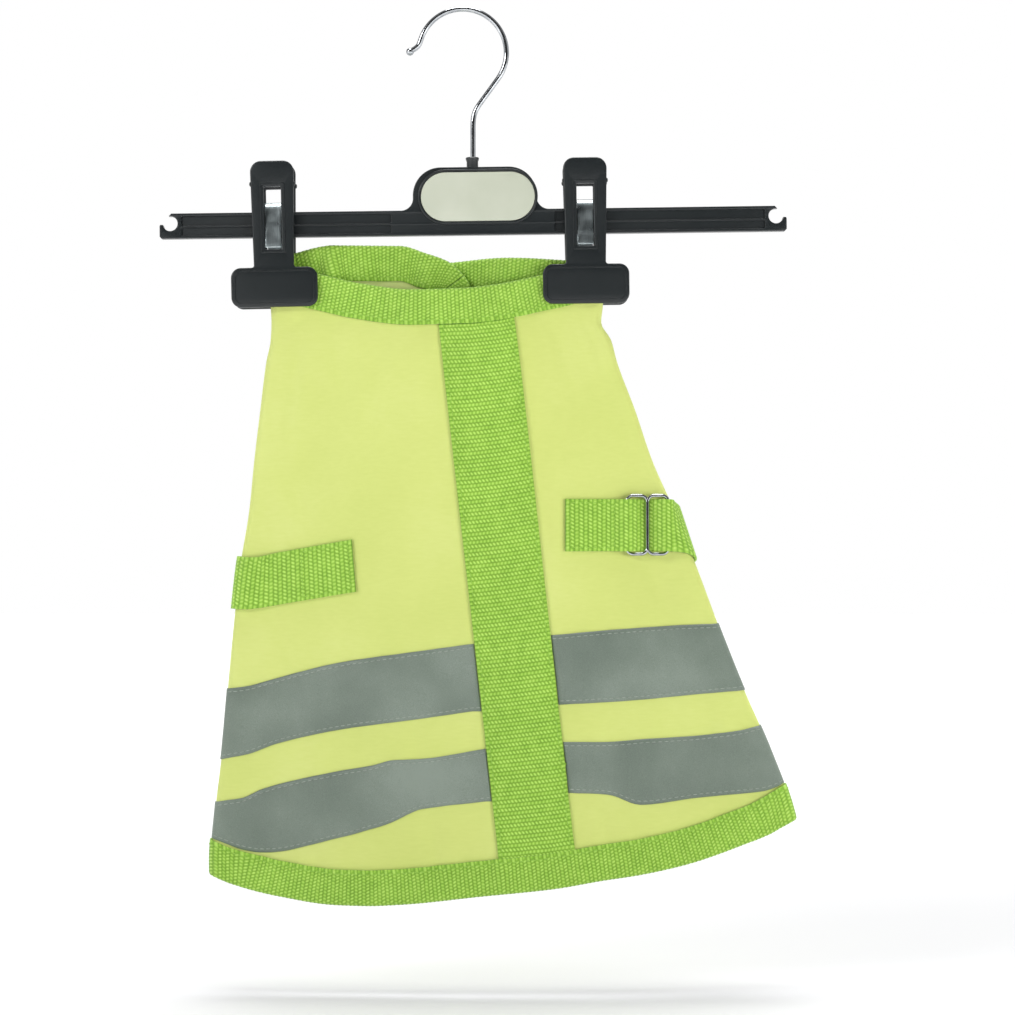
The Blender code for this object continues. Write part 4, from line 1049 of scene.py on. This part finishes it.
def make_strap():
    steps = int(round(STRAP_HALF / HALF_WIDE))
    t = np.arange(steps, -steps - 1, -1) * (STRAP_HALF / steps)
    points = smooth_along(strap_lines(t), HALF_LONG)
    across, along = even_grid(points, HALF_WIDE, HALF_LONG)
    piece = webbing_piece("belly_strap_webbing", points, across, along, STRAP_THICK, "belly_strap")
    normals = grid_normals(points)
    out = points + normals * (STRAP_THICK / 2.0 + 0.12)
    inset = max(int(round(STRAP_SEAM / HALF_WIDE)), 1)
    rows, columns = points.shape[:2]
    runs = []
    for first, last in ((2, 22), (columns - 24, columns - 3)):
        places = [np.s_[row, first:last] for row in (inset, rows - 1 - inset)]
        places += [np.s_[inset:rows - inset, line] for line in (first, last)]
        runs += [(out[place], normals[place]) for place in places]
    sewing = stitching("belly_strap_stitches", runs, GREEN_THREAD, "green_webbing")


# Hard parts

def mesh_of(shape, name="shape"):
    mesh = bpy.data.meshes.new(name)
    shape.to_mesh(mesh)
    shape.free()
    return mesh


def curve_mesh(loops, cyclic, place, **settings):
    """Straight runs between points, as a curve with these settings and then as a welded mesh."""
    curve = bpy.data.curves.new("curve", "CURVE")
    for name, value in settings.items():
        setattr(curve, name, value)
    for loop in loops:
        spline = curve.splines.new("POLY")
        spline.points.add(len(loop) - 1)
        for point, at in zip(spline.points, loop):
            point.co = (*(value * MM for value in at), 1.0)
        spline.use_cyclic_u = cyclic
    thing = new_object("curve", curve)
    bpy.context.view_layer.update()
    depsgraph = bpy.context.evaluated_depsgraph_get()
    shape = bmesh.new()
    shape.from_mesh(bpy.data.meshes.new_from_object(thing.evaluated_get(depsgraph)))
    shape.transform(place)
    bmesh.ops.remove_doubles(shape, verts=shape.verts, dist=0.000005)
    bpy.data.objects.remove(thing, do_unlink=True)
    return mesh_of(shape)


def outline_mesh(loops, start, end, rounding):
    """A flat outline in X and Z with inner loops as holes, between two values of y, edges rounded."""
    middle = Matrix.Translation((0.0, (start + end) / 2.0 * MM, 0.0))
    return curve_mesh([[(x, z, 0.0) for x, z in loop] for loop in loops], True,
                      middle @ Matrix.Rotation(math.radians(90.0), 4, "X"), dimensions="2D",
                      fill_mode="BOTH", extrude=(abs(end - start) / 2.0 - rounding) * MM,
                      bevel_depth=rounding * MM, bevel_resolution=2, offset=-rounding * MM)


def wire_mesh(points, radius, cyclic, sides):
    return curve_mesh([points], cyclic, Matrix(), dimensions="3D", bevel_depth=radius * MM,
                      bevel_resolution=sides, use_fill_caps=True)


def lathe_mesh(profile, x, sides=28):
    """A shape turned about an upright axis at x, from (radius, z) points."""
    angles = np.linspace(0.0, 2.0 * math.pi, sides + 1)[:-1]
    points = [(x + radius * math.cos(a), radius * math.sin(a), z) for radius, z in profile for a in angles]
    faces = ring_faces(len(profile), sides)
    faces += [tuple(reversed(range(sides))), tuple(range(len(points) - sides, len(points)))]
    return new_mesh("lathe", points, faces)


def box_mesh(start, end, rounding):
    shape = bmesh.new()
    start, end = Vector(start), Vector(end)
    size = [abs(side) * MM for side in end - start]
    place = Matrix.Translation((start + end) / 2.0 * MM) @ Matrix.Diagonal((*size, 1.0))
    bmesh.ops.create_cube(shape, size=1.0, matrix=place)
    bmesh.ops.bevel(shape, geom=shape.edges[:], offset=rounding * MM, segments=2, affect="EDGES")
    return mesh_of(shape)


def ball_mesh(centre, radius, stretch=(1.0, 1.0, 1.0)):
    shape = bmesh.new()
    place = Matrix.Translation(Vector(centre) * MM) @ Matrix.Diagonal((*stretch, 1.0))
    bmesh.ops.create_uvsphere(shape, u_segments=20, v_segments=14, radius=radius * MM, matrix=place)
    return mesh_of(shape)


def hard_piece(name, meshes, finish, node, slot, turn=Matrix(), smooth_angle=38.0):
    """Several meshes as one piece, turned into place, with smooth faces and crisp corners."""
    whole = bmesh.new()
    for mesh in meshes:
        whole.from_mesh(mesh)
        bpy.data.meshes.remove(mesh)
    whole.transform(turn)
    mesh = mesh_of(whole, name)
    mesh.materials.append(finish)
    mesh.shade_smooth()
    mesh.set_sharp_from_angle(angle=math.radians(smooth_angle))
    add_piece(name, mesh, slot, node)


def turn_about(x, z, angle):
    """A turn in the plane of the coat; a positive angle leans the top to the left."""
    pivot = Vector((x, 0.0, z)) * MM
    return Matrix.Translation(pivot) @ Matrix.Rotation(-angle, 4, "Y") @ Matrix.Translation(-pivot)


BAR_TURN = turn_about(BAR_CENTRE_X, BAR_TOP_Z, BAR_RISE)


def rounded_box(x, half, low, high, radius):
    """Outline of a box with its middle at x, between two heights."""
    run, foot, top = half - radius, low + radius, high - radius
    corners = ((x + run, top), (x - run, top), (x - run, foot), (x + run, foot))
    return [point for i, corner in enumerate(corners)
            for point in arc(*corner, radius, 90.0 * i, 90.0 * (i + 1), 5)]


def bar_end():
    notch_x = BAR_HALF_LENGTH - NOTCH_FROM_END
    notch = arc(0.0, -NOTCH_BELOW_TOP, NOTCH_RADIUS, *NOTCH_ANGLES, 26)
    points = [(notch_x - NOTCH_OVERHANG, 0.0)] + [(notch_x - x, z) for x, z in notch]
    points += [(BAR_HALF_LENGTH - inset, z) for inset, z in PRONG_TIP]
    return points + [(BAR_HALF_LENGTH, BAR_CORNER - BAR_HEIGHT), (BAR_HALF_LENGTH - BAR_CORNER, -BAR_HEIGHT)]


def stadium(centre_x, centre_z, length, height):
    radius = height / 2.0
    run = length / 2.0 - radius
    return (arc(centre_x + run, centre_z, radius, 90.0, -90.0, 24)
            + arc(centre_x - run, centre_z, radius, 270.0, 90.0, 24))


def make_bar():
    """Bar with its hump, recessed faces, ribs, notched ends, socket and the rim round the plate."""
    right_end = bar_end()
    right, left = HUMP_CENTRE + HUMP_HALF, HUMP_CENTRE - HUMP_HALF
    shoulder = HUMP_HEIGHT - HUMP_CORNER
    hump = arc(right + HUMP_FOOT, HUMP_FOOT, HUMP_FOOT, 270.0, 180.0, 10)
    hump += arc(right - HUMP_CORNER, shoulder, HUMP_CORNER, 0.0, 90.0, 18)
    hump += arc(left + HUMP_CORNER, shoulder, HUMP_CORNER, 90.0, 180.0, 18)
    hump += arc(left - HUMP_FOOT, HUMP_FOOT, HUMP_FOOT, 0.0, -90.0, 10)
    loop = [(-x, z) for x, z in right_end] + right_end[::-1] + hump
    outline = [(x + BAR_CENTRE_X, z + BAR_TOP_Z) for x, z in loop]
    start, end = RECESS_SPAN
    recesses = [rounded_box(BAR_CENTRE_X + side * (start + end) / 2.0, (end - start) / 2.0,
                            BAR_TOP_Z + low, BAR_TOP_Z + high, 0.6)
                for side in (-1.0, 1.0) for high, low in RECESS_LEVELS]
    core = rounded_box(BAR_CENTRE_X, end + 0.5, BAR_TOP_Z - BAR_HEIGHT + 0.7, BAR_TOP_Z - 0.7, 0.5)
    back = BAR_THICK / 2.0
    deep = back - RECESS_DEPTH
    rim = [stadium(*PLATE_CENTRE, PLATE_LENGTH + room, PLATE_HEIGHT + room) for room in RIM_ROOM]
    socket = [(SOCKET_RADIUS - inset, SOCKET_TOP_Z - drop) for inset, drop in SOCKET_PROFILE]
    meshes = [outline_mesh([outline] + recesses, -back, back, 0.4), outline_mesh([core], -deep, deep, 0.1),
              outline_mesh(rim, -back - RIM_HEIGHT, -back + 0.5, 0.5), lathe_mesh(socket, BAR_CENTRE_X)]
    hard_piece("hanger_bar_moulding", meshes, PLASTIC, "hanger_bar", "black_plastic", BAR_TURN)


def make_plate():
    front = -(BAR_THICK / 2.0 + GAP)
    face = outline_mesh([stadium(*PLATE_CENTRE, PLATE_LENGTH, PLATE_HEIGHT)], front - PLATE_THICK,
                        front, 0.35)
    hard_piece("hanger_plate_face", [face], PLATE, "hanger_plate", "pale_plate", BAR_TURN)


def smooth_path(keys, count, rounds):
    far = lengths(keys)
    return evened(along_line(keys, far, np.linspace(0.0, far[-1], count)), rounds)


def make_hook():
    """Round wire over the rail and down into the socket, with a ball on its tip."""
    keys = list(HOOK_TIP[::-1]) + arc(*HOOK_ARC_CENTRE, HOOK_ARC_RADIUS, *HOOK_ARC, 60)
    keys += list(HOOK_NECK) + [(BAR_CENTRE_X, SOCKET_TOP_Z - BORE_DEPTH + GAP)]
    path = smooth_path(keys, 260, 14)
    tip_x, tip_z = HOOK_TIP[1]
    meshes = [wire_mesh([(x, 0.0, z) for x, z in path], HOOK_RADIUS, False, 6),
              ball_mesh((tip_x, 0.0, tip_z), HOOK_BALL_RADIUS)]
    hard_piece("hanger_hook_wire", meshes, HOOK_CHROME, "hanger_hook", "chrome_wire",
               smooth_angle=WIRE_ANGLE)


def lever_outline(x, foot):
    corner = JAW_CORNER
    half_jaw, half_foot, half_top = JAW_WIDTH / 2, STEM_WIDTH_FOOT / 2, STEM_WIDTH_TOP / 2
    right = arc(half_jaw - corner, corner, corner, -90.0, 0.0, 10)
    right += arc(half_jaw - corner, JAW_HEIGHT - corner, corner, 0.0, 90.0, 10)
    right += arc(half_foot + 1.2, JAW_HEIGHT + 1.2, 1.2, 270.0, 180.0, 4)
    right += arc(half_top - STEM_CORNER, STEM_TOP - STEM_CORNER, STEM_CORNER, 0.0, 90.0, 10)
    outline = right + [(-across, up) for across, up in reversed(right)]
    return [(x + across, foot + up) for across, up in outline]


def make_lever(node, x, foot, lean, side):
    half_window, half_jaw = WINDOW_WIDTH / 2.0, JAW_WIDTH / 2.0
    low, high = foot + WINDOW_FOOT, foot + WINDOW_TOP
    outer, middle = side * (LEVER_FACE + LEVER_THICK), side * (LEVER_FACE + LEVER_THICK / 2.0)
    window = rounded_box(x, half_window, low, high, 0.5)
    jaw_ridge = [rounded_box(x, half_jaw - inset, foot + inset, foot + JAW_HEIGHT - inset,
                             JAW_CORNER - inset) for inset in JAW_RIDGE]
    window_ridge = [rounded_box(x, half_window + edge, low - edge, high + edge, 0.8)
                    for edge in WINDOW_RIDGE]
    meshes = [outline_mesh([lever_outline(x, foot), window[::-1]], side * LEVER_FACE, outer, 0.65)]
    for ridge in (jaw_ridge, window_ridge):
        meshes.append(outline_mesh(ridge, outer - RIDGE_HEIGHT, outer + RIDGE_HEIGHT, 0.12))
    for hand in (-1.0, 1.0):
        meshes.append(box_mesh((x + hand * CHEEK_X[0], side * CHEEK_FACE, foot + CHEEK_Z[0]),
                               (x + hand * CHEEK_X[1], middle, foot + CHEEK_Z[1]), 0.3))
        nub = (x + hand * (STEM_WIDTH_TOP / 2.0 - 0.1), middle, foot + NUB_HEIGHT)
        meshes.append(ball_mesh(nub, 1.0, (0.7, 0.9, 1.2)))
    hard_piece(node + "_lever", meshes, PLASTIC, node, "black_plastic", turn_about(x, foot, lean))


def make_spring(node, x, foot, lean):
    """A bent strip over the bar, with a small turned-out foot at each end."""
    path = smooth_path(list(SPRING_PATH) + [(-y, z) for y, z in reversed(SPRING_PATH[:-1])], 60, 6)
    half = SPRING_WIDTH / 2.0
    across = np.linspace(half, -half, 9)[:, None]
    y, z = path.T
    crown = SPRING_CROWN * np.sign(y) * (1.0 - (across / half) ** 2)
    points = np.stack(np.broadcast_arrays(x + across, y - crown, foot + z), axis=-1)
    name = node + "_strip"
    mesh = grid_mesh(name, points)
    mesh.transform(turn_about(x, foot, lean))
    mesh.materials.append(STEEL)
    piece = add_piece(name, mesh, "spring_steel", node)
    add_wall(piece, SPRING_THICK)
    edge = piece.modifiers.new("edge", "BEVEL")
    edge.width = 0.12 * MM
    edge.segments = 2
    edge.limit_method = "ANGLE"


def make_clips():
    for name, x, foot, lean in CLIPS:
        lean = math.radians(lean)
        make_lever(f"{name}_front", x, foot, lean, -1.0)
        make_lever(f"{name}_back", x, foot, lean, 1.0)
        make_spring(f"{name}_spring", x, foot, lean)


def make_slider():
    meshes = []
    for side in (-1.0, 1.0):
        outline = rounded_box(LOOP_CENTRE_X + side * LOOP_WIDTH / 2.0, LOOP_WIDTH / 2.0,
                              SLIDER_Z - LOOP_HALF_HEIGHT, SLIDER_Z + LOOP_HALF_HEIGHT, LOOP_CORNER)
        meshes.append(wire_mesh([(x, slider_plane(x, z), z) for x, z in outline], WIRE_RADIUS, True, 5))
    hard_piece("strap_slider_wire", meshes, SLIDER_CHROME, "strap_slider", "chrome_wire",
               smooth_angle=WIRE_ANGLE)


# Floor, light and camera

def make_stage():
    half = 5.0 / MM
    corners = [(-half, -half, 0.0), (half, -half, 0.0), (half, half, 0.0), (-half, half, 0.0)]
    mesh = new_mesh("floor", corners, [(0, 1, 2, 3)])
    mesh.materials.append(FLOOR)
    floor = new_object("floor", mesh)
    floor.location = FLOOR_PLACE


def make_world():
    """White round about, dim overhead, and dark in front, which draws the dark cores in the wires."""
    nodes = Nodes("studio", "worlds")
    _, y, z = nodes.split(nodes.add("TexCoord", output="Generated"))
    light = nodes.ramp(y, -0.72, -0.34, 0.06, 0.80) * nodes.ramp(z, 0.15, 0.70, 1.0, 0.38)
    seen = nodes.add("LightPath", output="Is Camera Ray")
    strength = nodes.add("Mix", {"Factor": seen, "A": light, "B": 1.0})
    nodes.put(nodes.tree.nodes["Background"], {"Strength": strength, "Color": WHITE})
    bpy.context.scene.world = nodes.owner


def area_light(name, place, size, power):
    light = bpy.data.lights.new(name, "AREA")
    light.shape = "RECTANGLE"
    light.size, light.size_y = size
    light.energy = power
    thing = new_object(name, light)
    thing.location = place
    thing.rotation_euler = (Vector(LIT_PLACE) - Vector(place)).to_track_quat("-Z", "Y").to_euler()
    return thing


def make_lights():
    area_light("key", (-1.62, -1.55, 0.78), (0.8, 0.8), 21.5)
    fill = area_light("fill", (1.35, -1.30, -0.22), (0.9, 0.4), 13.0)
    fill.visible_glossy = False  # so that the wires keep their dark cores
    overhead = bpy.data.lights.new("overhead", "SUN")
    overhead.energy = 3.1
    overhead.angle = math.radians(38.0)
    new_object("overhead", overhead).rotation_euler = (math.radians(-5.0), 0.0, 0.0)


def make_camera():
    data = bpy.data.cameras.new("camera")
    data.lens = 100.0
    data.sensor_width = 36.0
    camera = new_object("camera", data)
    camera.location = (0.0225, -1.414, -0.24875)
    camera.rotation_euler = (math.radians(90.0), 0.0, 0.0)
    bpy.context.scene.camera = camera


make_stage()
make_world()
make_lights()
make_camera()
coat = make_body()
make_clips()
make_bar()
make_plate()
make_hook()
make_bindings()
make_band()
make_tapes()
make_strap()
make_slider()
bpy.context.scene.view_settings.view_transform = "Standard"

bpy.context.view_layer.update()
